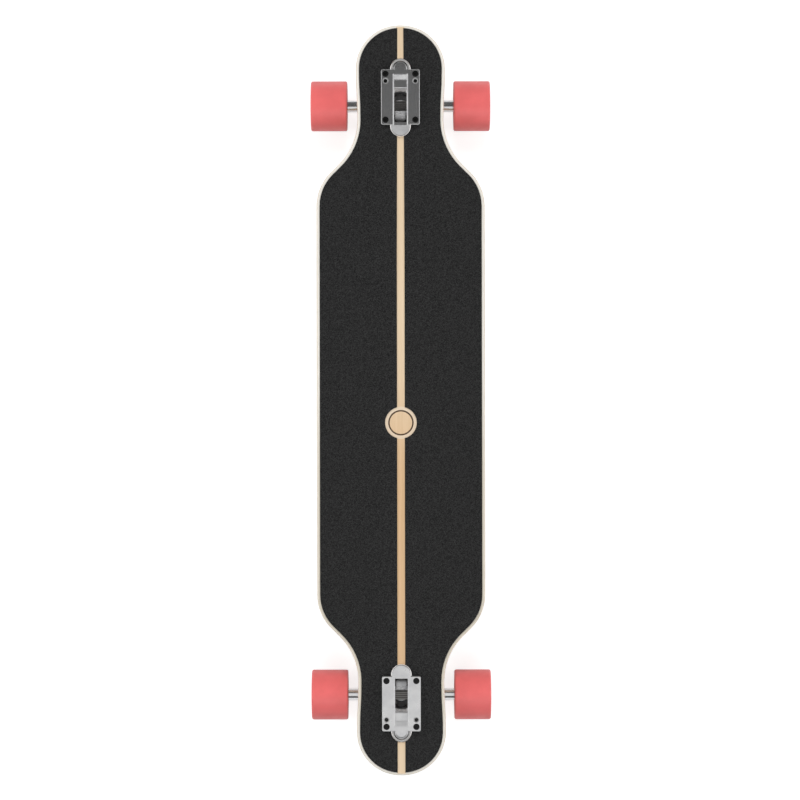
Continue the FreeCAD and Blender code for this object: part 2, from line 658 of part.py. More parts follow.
def make_baseplate(label):
    """A cast plate on top of the deck. Its plug drops through the deck and seats the kingpin,
    and a tower below the plug holds the pivot."""
    body = doc.addObject("PartDesign::Body", label)
    # The tower that reaches from the plug down to the pivot, rounded along its back.
    seat_top = leaning("washer_room", "seat")
    tower = polygon(body, label + "_tower", "YZ_Plane", [
        ("-tower_setback", "deck_top"), ("-tower_setback", "deck_bottom - tower_shoulder"),
        leaning("boss_end", "-boss_radius / 2"), leaning("boss_end", "0"), leaning("cup_mouth", "0"),
        leaning("cup_mouth", "-boss_radius"), leaning("-washer_room", "seat"), seat_top,
        (seat_top[0], "deck_top")])
    raise_up(body, "Pad", tower, "tower_width", symmetric=True)

    def on_back(edge):
        on_side = all(abs(abs(vertex.X) - sizes.tower_width / 2) < TINY for vertex in edge.Vertexes)
        return on_side and any(vertex.Y < TINY - sizes.tower_setback for vertex in edge.Vertexes) \
            and any(vertex.Z < fits.deck_bottom for vertex in edge.Vertexes)
    round_over(body, label + "_tower_edges", on_back, "tower_round")
    # The flange on top of the deck.
    half_width = "flange_width / 2"
    half_length = "flange_length / 2"
    corner = "flange_corner"
    flange = polygon(body, label + "_flange", "XY_Plane", [
        ("-" + half_width, "-" + half_length, corner), (half_width, "-" + half_length, corner),
        (half_width, half_length, corner), ("-" + half_width, half_length, corner)], "deck_top")
    plate = raise_up(body, "Pad", flange, "flange_thickness")
    doc.recompute()
    brim = ["Edge%d" % number for number, edge in enumerate(plate.Shape.Edges, start=1)
            if min(vertex.Z for vertex in edge.Vertexes) > fits.plate_top - sizes.flange_bevel]
    bevel = body.newObject("PartDesign::Chamfer", label + "_bevel")
    bevel.Base = (plate, brim)
    tie(bevel, "Size", "flange_bevel")
    # The plug through the deck: its round inner end slopes gently, and its outer end falls away to a lip.
    plug = [("-plug_width / 2", "-plug_end"), ("plug_width / 2", "-plug_end"),
            ("plug_width / 2", "flange_length / 2 - flange_bevel"),
            ("-plug_width / 2", "flange_length / 2 - flange_bevel")]
    raise_up(body, "Pad", polygon(body, label + "_plug", "XY_Plane", plug, "plug_bottom"), "plug_depth")
    inner = circles(body, label + "_tab", "XY_Plane", [("0", "-plug_end", "plug_width / 2")], "plug_bottom")
    raise_up(body, "Pad", inner, "plug_depth")
    above = "plate_top + flange_bevel"
    beyond = "-plug_length / 2 - flange_bevel"
    slope = polygon(body, label + "_tab_slope", "YZ_Plane", [
        ("-" + half_length, "plate_top"), ("-" + half_length, above), (beyond, above),
        (beyond, "plate_top - tab_fall")])
    raise_up(body, "Pocket", slope, "plug_width", symmetric=True)
    outer = circles(body, label + "_lip", "XY_Plane", [("0", "plug_end", "plug_width / 2")], "plug_bottom")
    raise_up(body, "Pad", outer, "plug_depth - lip_drop")
    nose_edge = "plug_end + plug_width / 2 - nose_inset"
    nose = polygon(body, label + "_nose", "YZ_Plane", [
        ("plug_end", "plug_bottom"), (nose_edge, "plug_bottom"), (nose_edge, "plate_top", "nose_round"),
        ("plug_end", "plate_top")], axis=[("plug_end", "plug_bottom"), ("plug_end", "plate_top")])
    turn(body, "Revolution", nose, "Axis0")
    # The round boss that holds the pivot cup.
    axis = [leaning("boss_end", "0"), leaning("cup_mouth", "0")]
    boss = leaning_box(("boss_end", "cup_mouth"), ("0", "boss_radius"))
    turn(body, "Revolution", polygon(body, label + "_boss", "YZ_Plane", boss, axis=axis), "Axis0")
    # Room for the boardside bushing, the kingpin's hole and the socket of the pivot cup.
    pin_axis = [leaning("0", "head_seat"), leaning("0", "seat")]
    room = leaning_box(("0", "washer_room"), ("seat", "kingpin_end"))
    turn(body, "Groove", polygon(body, label + "_room", "YZ_Plane", room, axis=pin_axis), "Axis0")
    hole = leaning_box(("0", "kingpin_diameter / 2 + kingpin_clearance"), ("head_seat - boss_wall", "seat"))
    turn(body, "Groove", polygon(body, label + "_pin_hole", "YZ_Plane", hole, axis=pin_axis), "Axis0")
    socket = leaning_box(("cup_end", "cup_mouth + boss_wall"), ("0", "cup_radius"))
    turn(body, "Groove", polygon(body, label + "_socket", "YZ_Plane", socket, axis=axis), "Axis0")
    # The window: a pocket for the kingpin's head, a ridge, a way through, a floor and a sloping step.
    head_low = leaning("-head_room", "head_seat")
    head_back = leaning("-head_room", "head_seat - kingpin_head_height - head_gap")
    head_high = leaning("head_room", "head_seat")
    pocket = polygon(body, label + "_head_pocket", "YZ_Plane", [
        head_high, head_low, head_back, (head_back[0], above), (head_high[0], above)])
    raise_up(body, "Pocket", pocket, "window_width", symmetric=True)
    floors = polygon(body, label + "_window", "YZ_Plane", [
        (head_high[0] + " - head_gap", above), head_high, (head_high[0] + " + ridge_foot", "slab_top"),
        ("slab_edge", "slab_top"),
        ("slab_edge", "plug_bottom - flange_bevel"), ("opening_outer_end", "plug_bottom - flange_bevel"),
        ("opening_outer_end", "plate_top - floor_depth - floor_ease_depth"),
        ("opening_outer_end + floor_ease", "plate_top - floor_depth"),
        ("floor_outer_end", "plate_top - floor_depth"), ("floor_outer_end", "plate_top - step_depth"),
        ("window_outer_end", "plate_top - step_top_depth"), ("window_outer_end", above)])
    raise_up(body, "Pocket", floors, "window_width", symmetric=True)
    wide = "(window_width / 2 + window_bevel)"
    sides = polygon(body, label + "_window_sides", "XZ_Plane", [
        ("-window_width / 2", "plate_top - window_bevel_depth"),
        ("window_width / 2", "plate_top - window_bevel_depth"),
        (wide, "plate_top"), ("-" + wide, "plate_top")], "-window_outer_end")
    raise_up(body, "Pocket", sides, "window_outer_end + window_inner_end", backwards=True)
    # Bolt holes, the spare pair of the second pattern, and the marks of the pair left undrilled.
    across = "bolt_spacing_across / 2"
    spare = "spare_spacing_along - bolt_spacing_along / 2"
    holes = [(x, y, "bolt_hole") for x, y, _ in four_spots(across, "bolt_spacing_along / 2")]
    spares = [("-" + across, spare), (across, spare)]
    drilled = circles(body, label + "_holes", "XY_Plane", holes + [(x, y, "bolt_hole") for x, y in spares],
                      "plate_top")
    pierced = raise_up(body, "Pocket", drilled, "flange_thickness + flange_bevel")
    doc.recompute()
    mouths = ["Edge%d" % number for number, edge in enumerate(pierced.Shape.Edges, start=1)
              if edge.isClosed() and abs(edge.BoundBox.XLength / 2 - fits.bolt_hole) < sizes.bolt_clearance
              and edge.CenterOfMass.z > fits.plate_top - TINY
              and abs(edge.CenterOfMass.y) < sizes.bolt_spacing_along / 2 - TINY]
    sinks = body.newObject("PartDesign::Chamfer", label + "_countersinks")
    sinks.Base = (pierced, mouths)
    tie(sinks, "Size", "flange_bevel")
    marks = circles(body, label + "_marks", "XY_Plane",
                    [(x, "-(%s)" % y, "dimple_diameter / 2") for x, y in spares], "plate_top")
    raise_up(body, "Pocket", marks, "dimple_depth")
    return keep(body, label)


def make_kingpin(label):
    """A hexagon-headed bolt, drawn with its head in the baseplate and its thread towards the road."""
    body = doc.addObject("PartDesign::Body", label)
    shank = [("0", "head_seat"), ("kingpin_diameter / 2", "head_seat"),
             ("kingpin_diameter / 2", "kingpin_end"), ("0", "kingpin_end")]
    turn(body, "Revolution", polygon(body, label + "_shank", "XZ_Plane", shank))
    head = polygon(body, label + "_head", "XY_Plane", hexagon("kingpin_head_width"),
                   "head_seat - kingpin_head_height")
    raise_up(body, "Pad", head, "kingpin_head_height")
    return keep(body, label)


def make_nut(name, width, bore, low, height):
    """A hexagon nut on an upright bolt."""
    body = doc.addObject("PartDesign::Body", name)
    raise_up(body, "Pad", polygon(body, name + "_hexagon", "XY_Plane", hexagon(width), low), height)
    hole = circles(body, name + "_hole", "XY_Plane", [("0", "0", bore)], low + " + " + height)
    raise_up(body, "Pocket", hole, height)
    return body


def make_bolt(name):
    """A button-headed bolt with a hexagon socket, drawn down from the plate that its head sits on."""
    body = doc.addObject("PartDesign::Body", name)
    radius = "bolt_head_diameter / 2"
    profile = [("0", "-bolt_reach"), ("bolt_diameter / 2", "-bolt_reach"), ("bolt_diameter / 2", "0"),
               (radius, "0"), (radius, "bolt_head_height", "bolt_head_round"), ("0", "bolt_head_height")]
    turn(body, "Revolution", polygon(body, name + "_profile", "XZ_Plane", profile))
    socket = polygon(body, name + "_socket", "XY_Plane", hexagon("bolt_socket"), "bolt_head_height")
    raise_up(body, "Pocket", socket, "bolt_socket_depth")
    return body


def make_hanger(label):
    """The cast yoke that carries the axle: a ring round the kingpin, a spreading web and the pivot's nose."""
    body = doc.addObject("PartDesign::Body", label)
    pivot = "pivot_diameter / 2"
    # The web from the ring down to the axle, narrowed from both sides towards the ring.
    web = polygon(body, label + "_web", "YZ_Plane", [
        leaning("-web_start", "-ring_face"), leaning("-web_start", "ring_face"),
        leaning("axle_level", "rake + web_root / 2"), leaning("axle_level", "rake - web_root / 2")])
    raise_up(body, "Pad", web, "web_width", symmetric=True)
    for side in (-1, 1):
        trim = [("%d * web_top_width / 2" % side, leaning("-web_start", "0")[1]),
                ("%d * web_width / 2" % side, "axle_height + web_root / 2"),
                ("%d * web_width" % side, "axle_height + web_root / 2"),
                ("%d * web_width" % side, "ring_height"), ("%d * web_top_width / 2" % side, "ring_height")]
        name = label + ("_left_trim" if side < 0 else "_right_trim")
        raise_up(body, "Pocket", polygon(body, name, "XZ_Plane", trim), "plug_length", symmetric=True)
    # The arm in the middle, which joins the web, the axle and the pivot's nose.
    arm = polygon(body, label + "_arm", "YZ_Plane", [
        leaning("-web_start", "-ring_face"), leaning("arm_end", "-" + pivot), leaning("arm_end", pivot),
        leaning("axle_level", "rake"), leaning("-web_start", "ring_face")])
    raise_up(body, "Pad", arm, "arm_width", symmetric=True)
    axis = [leaning("pivot_tip", "0"), leaning("axle_level", "0")]
    nose = polygon(body, label + "_pivot", "YZ_Plane", [
        leaning("axle_level", "0"), leaning("axle_level", pivot), leaning("pivot_tip + pivot_taper", pivot),
        leaning("pivot_tip", pivot + " - pivot_taper"), leaning("pivot_tip", "0")], axis=axis)
    turn(body, "Revolution", nose, "Axis0")
    # The ring between the bushings.
    pin_axis = [leaning("0", "-ring_face"), leaning("0", "ring_face")]
    ring = leaning_box(("0", "ring_diameter / 2"), ("-ring_face", "ring_face"))
    turn(body, "Revolution", polygon(body, label + "_ring", "YZ_Plane", ring, axis=pin_axis), "Axis0")
    bore = leaning_box(("0", "ring_bore / 2"), ("-ring_face - boss_wall", "ring_face + boss_wall"))
    turn(body, "Groove", polygon(body, label + "_bore", "YZ_Plane", bore, axis=pin_axis), "Axis0")
    # The round ends round the axle, which swell where they join the web, and the axle's hole.
    end = "hanger_length / 2"
    thin = "axle_along + shaft_diameter / 2"
    thick = "axle_along + collar_diameter / 2"
    shoulder = "collar_length / 2"
    taper = shoulder + " + collar_taper"
    shaft = polygon(body, label + "_shaft", "XY_Plane", [
        ("-" + end, "axle_along"), ("-" + end, thin), ("-(%s)" % taper, thin), ("-" + shoulder, thick),
        (shoulder, thick), (taper, thin), (end, thin), (end, "axle_along")],
        "axle_height", axis=[("-" + end, "axle_along"), (end, "axle_along")])
    turn(body, "Revolution", shaft, "Axis0")
    hole = circles(body, label + "_axle_hole", "YZ_Plane", [("axle_along", "axle_height", "axle_hole")])
    raise_up(body, "Pocket", hole, "hanger_length + boss_wall", symmetric=True)

    def on_web(edge):
        return (edge.Curve.TypeId == "Part::GeomLine" and edge.Length > sizes.web_start
                and all(abs(vertex.X) > sizes.arm_width / 2 + TINY for vertex in edge.Vertexes))
    round_over(body, label + "_web_edges", on_web, "web_round")
    return keep(body, label)


bolt = make_bolt("one_bolt")
bolt_nut = make_nut("one_bolt_nut", "bolt_nut_width", "bolt_hole", "-bolt_nut_height", "bolt_nut_height")
axle_nut = make_nut("one_axle_nut", "axle_nut_width", "axle_hole", "0", "axle_nut_height")
washer = turned_piece("one_speed_washer", tube_profile("axle_hole", "speed_washer_diameter / 2", "0",
                                                       "speed_washer_thickness"))
half_ring = "bearing_width / 2"
inner_ring = turned_piece("one_inner_ring", tube_profile("axle_hole", "inner_ring_radius",
                                                         "-" + half_ring, half_ring))
spacer = turned_piece("one_spacer", tube_profile("axle_hole", "axle_hole + spacer_wall", "-spacer_length / 2",
                                                 "spacer_length / 2"))
pin_room = "kingpin_diameter / 2 + kingpin_clearance"
bushing_bore = "kingpin_diameter / 2 + bushing_bore_clearance"
pivot_room = "pivot_diameter / 2 + running_clearance"

for truck, end in (("front", 1), ("rear", -1)):
    place_on_truck(make_baseplate(truck + "_baseplate"), end)
    bolt_spots = four_spots("bolt_spacing_across / 2", "bolt_spacing_along / 2")
    place_on_truck(group(truck + "_mounting_bolts", bolt, bolt_spots), end, "plate_top")
    place_on_truck(group(truck + "_mounting_nuts", bolt_nut, bolt_spots), end, "deck_bottom")
    place_on_kingpin(make_kingpin(truck + "_kingpin"), end)
    nut = make_nut(truck + "_kingpin_nut", "kingpin_nut_width", pin_room, "nut_seat", "kingpin_nut_height")
    place_on_kingpin(keep(nut, truck + "_kingpin_nut"), end)
    round_pieces = {
        "boardside_washer": tube_profile(pin_room, "boardside_washer_diameter / 2", "seat", "boardside_top"),
        "boardside_bushing": tube_profile(bushing_bore, "bushing_diameter / 2", "boardside_top",
                                          "-ring_face"),
        "roadside_bushing": [
            (bushing_bore, "ring_face"), ("bushing_diameter / 2", "ring_face"),
            ("roadside_top_diameter / 2", "roadside_end"), (bushing_bore, "roadside_end")],
        "roadside_washer": tube_profile(pin_room, "roadside_washer_diameter / 2", "roadside_end", "nut_seat"),
    }
    for piece, profile in round_pieces.items():
        place_on_kingpin(keep(turned_piece(truck + "_" + piece, profile), truck + "_" + piece), end)
    cup = turned_piece(truck + "_pivot_cup", [
        ("0", "cup_end"), ("cup_radius", "cup_end"), ("cup_radius", "cup_mouth"), (pivot_room, "cup_mouth"),
        (pivot_room, "pivot_tip + pivot_taper"),
        (pivot_room + " - pivot_taper", "pivot_tip - running_clearance"),
        ("0", "pivot_tip - running_clearance")])
    place(keep(cup, truck + "_pivot_cup"), along="%d * (truck_station + ring_along)" % end, up="ring_height",
          axis=SIDEWAYS, angle="%d * (steer_angle - 90)" % end)
    place_on_truck(make_hanger(truck + "_hanger"), end)
    rod = [("0", "-axle_length / 2"), ("axle_diameter / 2", "-axle_length / 2"),
           ("axle_diameter / 2", "axle_length / 2"), ("0", "axle_length / 2")]
    place_on_axle(keep(turned_piece(truck + "_axle", rod), truck + "_axle"), end)
    nut_place = "wheel_offset + hub_half + speed_washer_thickness"
    nut_spots = [("0", "0", nut_place), ("0", "0", "-(%s)" % nut_place, SIDEWAYS, "180")]
    place_on_axle(group(truck + "_axle_nuts", axle_nut, nut_spots), end)
    washer_spots = []
    for spot in ("hanger_length / 2", "wheel_offset + hub_half"):
        washer_spots.append(("0", "0", spot))
        washer_spots.append(("0", "0", "-(%s)" % spot, SIDEWAYS, "180"))
    place_on_axle(group(truck + "_speed_washers", washer, washer_spots), end)
    ring_spots = [("0", "0", "%d * wheel_offset + %d * bearing_offset" % (side, face))
                  for side in (-1, 1) for face in (-1, 1)]
    place_on_axle(group(truck + "_bearing_inner_rings", inner_ring, ring_spots), end)
    spacer_spots = [("0", "0", "-wheel_offset"), ("0", "0", "wheel_offset")]
    place_on_axle(group(truck + "_bearing_spacers", spacer, spacer_spots), end)


# Wheels. A soft tyre is cast round a hard hub, and a bearing is pressed into each side of the hub.
def make_tyre(label, side):
    """A tyre with a broad flat tread, rounded edges and a mouth that opens from the hub to each side."""
    low = "-wheel_width / 2 - %d * tyre_setoff" % side
    high = "wheel_width / 2 - %d * tyre_setoff" % side
    rim = "wheel_diameter / 2"
    mouth = "wheel_mouth_diameter / 2"
    return keep(turned_piece(label, [
        ("hub_radius", "-hub_half"), (mouth, low), (rim, low, "wheel_edge_radius"),
        (rim, high, "wheel_edge_radius"), (mouth, high), ("hub_radius", "hub_half")]), label)


def make_hub(label):
    """A hub with a bearing seat in each side and a ledge between them."""
    seat = "bearing_diameter / 2"
    ledge = "bearing_diameter / 2 - hub_ledge"
    step = "spacer_length / 2"
    return keep(turned_piece(label, [
        (seat, "-hub_half"), ("hub_radius", "-hub_half"), ("hub_radius", "hub_half"), (seat, "hub_half"),
        (seat, step), (ledge, step), (ledge, "-" + step), (seat, "-" + step)]), label)


outer_ring = turned_piece("one_outer_ring", tube_profile("outer_ring_bore", "bearing_diameter / 2",
                                                         "-" + half_ring, half_ring))
shield = turned_piece("one_shield", tube_profile("inner_ring_radius + shield_gap", "outer_ring_bore",
                                                 "-shield_thickness / 2", "shield_thickness / 2"))
ball = doc.addObject("Part::Sphere", "one_ball")
tie(ball, "Radius", "ball_radius")

faces = []
shields = []
balls = []
for face in (-1, 1):
    middle = "%d * bearing_offset" % face
    faces.append(("0", "0", middle))
    for lip in (-1, 1):
        rest = "%s + %d * (bearing_width / 2 - shield_inset - shield_thickness / 2)" % (middle, lip)
        shields.append(("0", "0", rest))
    for step in range(int(sizes.ball_count)):
        angle = "%d * 360 / ball_count" % step
        balls.append(("ball_pitch * cos(%s)" % angle, "ball_pitch * sin(%s)" % angle, middle))

for truck, end in (("front", 1), ("rear", -1)):
    for hand, side in (("left", -1), ("right", 1)):
        wheel = "%s_%s_" % (truck, hand)
        for item in (make_tyre(wheel + "tyre", side), make_hub(wheel + "hub"),
                     group(wheel + "bearing_outer_rings", outer_ring, faces),
                     group(wheel + "bearing_balls", ball, balls),
                     group(wheel + "bearing_shields", shield, shields)):
            place_on_axle(item, end, "%d * wheel_offset" % side)


doc.recompute()
os.makedirs("parts", exist_ok=True)
for item in doc.Objects:
    if "Invalid" in item.State or "Error" in item.State:
        raise RuntimeError("failed: " + item.Label + " " + str(item.State))
for feature in cutters:
    if feature.BaseFeature.Shape.Volume - feature.Shape.Volume < TINY:
        raise RuntimeError("cuts nothing: " + feature.Label)
for item in nodes:
    if item.Shape.isNull() or not item.Shape.isValid():
        raise RuntimeError("bad shape: " + item.Label)
for item in nodes:
    item.Shape.exportStep(os.path.join("parts", item.Label + ".step"))
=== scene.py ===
import math

import bpy
import numpy as np
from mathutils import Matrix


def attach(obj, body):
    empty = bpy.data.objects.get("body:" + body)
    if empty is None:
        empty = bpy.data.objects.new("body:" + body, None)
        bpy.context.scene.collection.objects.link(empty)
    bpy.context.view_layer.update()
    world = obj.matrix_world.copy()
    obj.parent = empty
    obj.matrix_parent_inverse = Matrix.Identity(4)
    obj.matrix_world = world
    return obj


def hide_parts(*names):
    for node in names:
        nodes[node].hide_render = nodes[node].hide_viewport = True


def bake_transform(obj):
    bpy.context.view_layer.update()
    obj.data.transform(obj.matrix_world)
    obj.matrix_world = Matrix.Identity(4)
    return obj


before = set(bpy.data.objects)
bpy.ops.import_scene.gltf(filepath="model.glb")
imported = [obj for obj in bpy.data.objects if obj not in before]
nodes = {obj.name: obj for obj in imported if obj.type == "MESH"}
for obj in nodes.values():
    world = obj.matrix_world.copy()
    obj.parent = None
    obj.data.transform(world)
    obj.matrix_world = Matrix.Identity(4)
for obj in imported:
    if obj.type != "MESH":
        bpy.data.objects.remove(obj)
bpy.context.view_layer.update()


# The deck: maple veneers pressed together into a shallow trough, cut to shape and lacquered.
# Its rounded edge is sanded through the layers, so the plies of the core show all round.
def put(tree, kind, inputs=None, **settings):
    """A new node. Each input takes a plain value or another node's output."""
    item = tree.nodes.new(kind)
    for name, setting in settings.items():
        setattr(item, name, setting)
    for name, feed in (inputs or {}).items():
        if isinstance(feed, bpy.types.NodeSocket):
            tree.links.new(feed, item.inputs[name])
        else:
            item.inputs[name].default_value = feed
    return item


def calc(tree, operation, *terms):
    """One step of arithmetic on values that change over the surface."""
    return put(tree, "ShaderNodeMath", dict(enumerate(terms)), operation=operation).outputs[0]


def ramp(tree, value, low, high, start=0.0, end=1.0):
    """A value carried smoothly from one range to another and held at both ends."""
    takes = {"Value": value, "From Min": low, "From Max": high, "To Min": start, "To Max": end}
    return put(tree, "ShaderNodeMapRange", takes, interpolation_type="SMOOTHSTEP").outputs["Result"]


def mixed(tree, share, first, second):
    """Two colours mixed by a share that changes over the surface."""
    takes = {"Factor": share, 6: first, 7: second}
    return put(tree, "ShaderNodeMix", takes, data_type="RGBA").outputs[2]


def stretched(tree, place, scale):
    """A position squeezed along each axis, so that a pattern read at it is drawn out."""
    return put(tree, "ShaderNodeMapping", {"Vector": place, "Scale": scale}).outputs["Vector"]


def noise(tree, place, scale, detail, roughness):
    """Cloudy noise about the value one half."""
    takes = {"Vector": place, "Scale": scale, "Detail": detail, "Roughness": roughness}
    return put(tree, "ShaderNodeTexNoise", takes).outputs["Fac"]


def apart(tree, x, y):
    """How far a level offset of x and y reaches."""
    offset = put(tree, "ShaderNodeCombineXYZ", {"X": x, "Y": y}).outputs[0]
    return put(tree, "ShaderNodeVectorMath", {0: offset}, operation="LENGTH").outputs["Value"]


def effect(name, takes, gives):
    """An empty group of nodes with named sockets, each a Color, a Float or a Vector."""
    group = bpy.data.node_groups.new(name, "ShaderNodeTree")
    for label, kind in takes.items():
        group.interface.new_socket(label, in_out="INPUT", socket_type="NodeSocket" + kind)
    for label, kind in gives.items():
        group.interface.new_socket(label, in_out="OUTPUT", socket_type="NodeSocket" + kind)
    return group, group.nodes.new("NodeGroupInput").outputs, group.nodes.new("NodeGroupOutput").inputs


def use(tree, group, inputs):
    """One of the effects, placed in a material with its own values."""
    return put(tree, "ShaderNodeGroup", inputs, node_tree=group).outputs


def finish(name, **plain):
    """A new material, with the shader's values that are the same all over set on its own sockets."""
    material = bpy.data.materials.new(name)
    material.use_nodes = True
    tree = material.node_tree
    shader = tree.nodes["Principled BSDF"]
    for label, setting in plain.items():
        shader.inputs[label.replace("_", " ").title().replace("Ior", "IOR")].default_value = setting
    place = put(tree, "ShaderNodeTexCoord").outputs["Object"]
    return material, tree, shader, place


def feed(tree, shader, color, roughness, height, relief):
    """Joins what changes over the surface to the shader: colour, roughness, and a height as a bump."""
    bump = put(tree, "ShaderNodeBump", {"Height": height, "Strength": 1.0, "Distance": relief})
    tree.links.new(color, shader.inputs["Base Color"])
    tree.links.new(roughness, shader.inputs["Roughness"])
    tree.links.new(bump.outputs["Normal"], shader.inputs["Normal"])


def dress(material, *names):
    """Gives CAD pieces their material."""
    for name in names:
        nodes[name].data.materials.clear()
        nodes[name].data.materials.append(material)


DECK_BOTTOM = 0.085
FLAT_HALF = 0.030
TROUGH_RADIUS = 0.480
CORE_LOW = 0.00154
PLY = 0.001784

# Maple: long pale and dark streaks with fine fibres along the board and short darker flecks.
grain, of_grain, to_grain = effect(
    "maple_grain", {"Position": "Vector", "Pale": "Color", "Dark": "Color", "Figure": "Float"},
    {"Color": "Color", "Height": "Float"})
streaks = noise(grain, stretched(grain, of_grain["Position"], (1, 0.02, 1)), 260, 5, 0.6)
fibres = noise(grain, stretched(grain, of_grain["Position"], (1, 0.03, 1)), 1700, 2, 0.5)
flecks = noise(grain, stretched(grain, of_grain["Position"], (1, 0.12, 1)), 900, 2, 0.6)
figure = calc(grain, "MULTIPLY", ramp(grain, streaks, 0.32, 0.70), of_grain["Figure"])
figure = calc(grain, "ADD", figure, ramp(grain, fibres, 0.35, 0.75, 0.0, 0.22))
figure = calc(grain, "ADD", figure, ramp(grain, flecks, 0.62, 0.78, 0.0, 0.30))
grain.links.new(mixed(grain, figure, of_grain["Pale"], of_grain["Dark"]), to_grain["Color"])
grain.links.new(calc(grain, "ADD", fibres, flecks), to_grain["Height"])

# Height above the deck's underside, square to the pressed layers: the trough's radius less the distance
# from the line that its sides curve about.
layers, of_layers, to_layers = effect("layer_height", {"Position": "Vector"}, {"Height": "Float"})
at = put(layers, "ShaderNodeSeparateXYZ", {"Vector": of_layers["Position"]}).outputs
aside = calc(layers, "MAXIMUM", calc(layers, "SUBTRACT", calc(layers, "ABSOLUTE", at["X"]), FLAT_HALF), 0.0)
down = calc(layers, "SUBTRACT", DECK_BOTTOM + TROUGH_RADIUS, at["Z"])
away = calc(layers, "SQRT", calc(layers, "ADD", calc(layers, "MULTIPLY", aside, aside),
                                 calc(layers, "MULTIPLY", down, down)))
layers.links.new(calc(layers, "SUBTRACT", TROUGH_RADIUS, away), to_layers["Height"])

# The face veneers are bare under the lacquer, with a thin printed ring on the round badge. On the top, the
# wood is darker behind the badge, apart from the very tail, and the rim beside the tape is coloured paler.
MID_HEIGHT = 0.006
BADGE_Y = -0.031
BADGE_RADIUS = 0.0224
STRIPE_HALF = 0.0057
RING_RADIUS = 0.0166
RING_HALF = 0.0012
RING_BLUR = 0.0004
STATION = 0.420
FILM_LENGTH = 0.0784
FILM_WIDTH = 0.0555
LIGHTER_AHEAD = (-0.12, 0.06)
LIGHTER_BEHIND = (-0.40, -0.50)
veneer, tree, shader, place = finish("maple_veneer", coat_weight=0.25, coat_roughness=0.18)
spot = put(tree, "ShaderNodeSeparateXYZ", {"Vector": place}).outputs
height = use(tree, layers, {"Position": place})["Height"]
upper = calc(tree, "GREATER_THAN", height, MID_HEIGHT)
lighter = calc(tree, "MAXIMUM", ramp(tree, spot["Y"], *LIGHTER_AHEAD), ramp(tree, spot["Y"], *LIGHTER_BEHIND))
lighter = calc(tree, "MAXIMUM", lighter, calc(tree, "SUBTRACT", 1.0, upper))
pale = mixed(tree, lighter, (0.72, 0.485, 0.275, 1), (0.805, 0.635, 0.44, 1))
dark = mixed(tree, lighter, (0.62, 0.395, 0.205, 1), (0.73, 0.55, 0.355, 1))
wood = use(tree, grain, {"Position": place, "Pale": pale, "Dark": dark, "Figure": 0.6})
from_badge = apart(tree, spot["X"], calc(tree, "SUBTRACT", spot["Y"], BADGE_Y))
facing = put(tree, "ShaderNodeNewGeometry").outputs["Normal"]
upright = put(tree, "ShaderNodeSeparateXYZ", {"Vector": facing}).outputs["Z"]
sanded = ramp(tree, calc(tree, "ABSOLUTE", upright), 0.97, 0.90)
rim = calc(tree, "MULTIPLY", calc(tree, "GREATER_THAN", calc(tree, "ABSOLUTE", spot["X"]), STRIPE_HALF),
           calc(tree, "GREATER_THAN", from_badge, BADGE_RADIUS))
rim_color = mixed(tree, lighter, (0.62, 0.565, 0.465, 1), (0.78, 0.745, 0.68, 1))
edge_color = mixed(tree, lighter, (0.74, 0.68, 0.57, 1), (0.90, 0.86, 0.78, 1))
wood_color = mixed(tree, calc(tree, "MULTIPLY", rim, upper), wood["Color"], rim_color)
wood_color = mixed(tree, sanded, wood_color, edge_color)
band = calc(tree, "MULTIPLY", ramp(tree, from_badge, RING_RADIUS - RING_BLUR, RING_RADIUS + RING_BLUR),
            calc(tree, "LESS_THAN", from_badge, BADGE_RADIUS))
wood_color = mixed(tree, calc(tree, "MULTIPLY", band, 0.5), wood_color, (0.79, 0.70, 0.58, 1))
off_ring = calc(tree, "ABSOLUTE", calc(tree, "SUBTRACT", from_badge, RING_RADIUS))
ink = calc(tree, "MULTIPLY", ramp(tree, off_ring, RING_HALF, RING_HALF * 0.75), upper)
# The film of the tape runs on under the two baseplates, and shows black at the foot of their spare holes.
from_plate = calc(tree, "ABSOLUTE", calc(tree, "SUBTRACT", calc(tree, "ABSOLUTE", spot["Y"]), STATION))
film = calc(tree, "MULTIPLY", calc(tree, "LESS_THAN", from_plate, FILM_LENGTH / 2),
            calc(tree, "LESS_THAN", calc(tree, "ABSOLUTE", spot["X"]), FILM_WIDTH / 2))
film = calc(tree, "MULTIPLY", film, upper)
marked = mixed(tree, ink, wood_color, (0.06, 0.028, 0.010, 1))
feed(tree, shader, mixed(tree, film, marked, (0.012, 0.012, 0.012, 1)),
     ramp(tree, wood["Height"], 0.6, 1.4, 0.32, 0.46), wood["Height"], 0.00004)
dress(veneer, "deck_top_veneer", "deck_bottom_veneer")

# The core's edge: plies with their grain lengthways and crossways by turns, and dark glue lines
# between.
core, tree, shader, place = finish("maple_core_edge")
height = use(tree, layers, {"Position": place})["Height"]
ply = calc(tree, "DIVIDE", calc(tree, "SUBTRACT", height, CORE_LOW), PLY)
cross = calc(tree, "GREATER_THAN", calc(tree, "MODULO", ply, 2.0), 1.0)
along = use(tree, grain, {"Position": place, "Pale": (0.92, 0.86, 0.77, 1), "Dark": (0.82, 0.73, 0.60, 1),
                          "Figure": 0.5})
ends = noise(tree, place, 2400, 2, 0.6)
across = mixed(tree, ramp(tree, ends, 0.35, 0.65), (0.70, 0.55, 0.39, 1), (0.52, 0.37, 0.23, 1))
from_middle = calc(tree, "ABSOLUTE", calc(tree, "SUBTRACT", calc(tree, "FRACT", ply), 0.5))
glue = ramp(tree, from_middle, 0.44, 0.49, 0.0, 0.65)
plies = mixed(tree, cross, along["Color"], across)
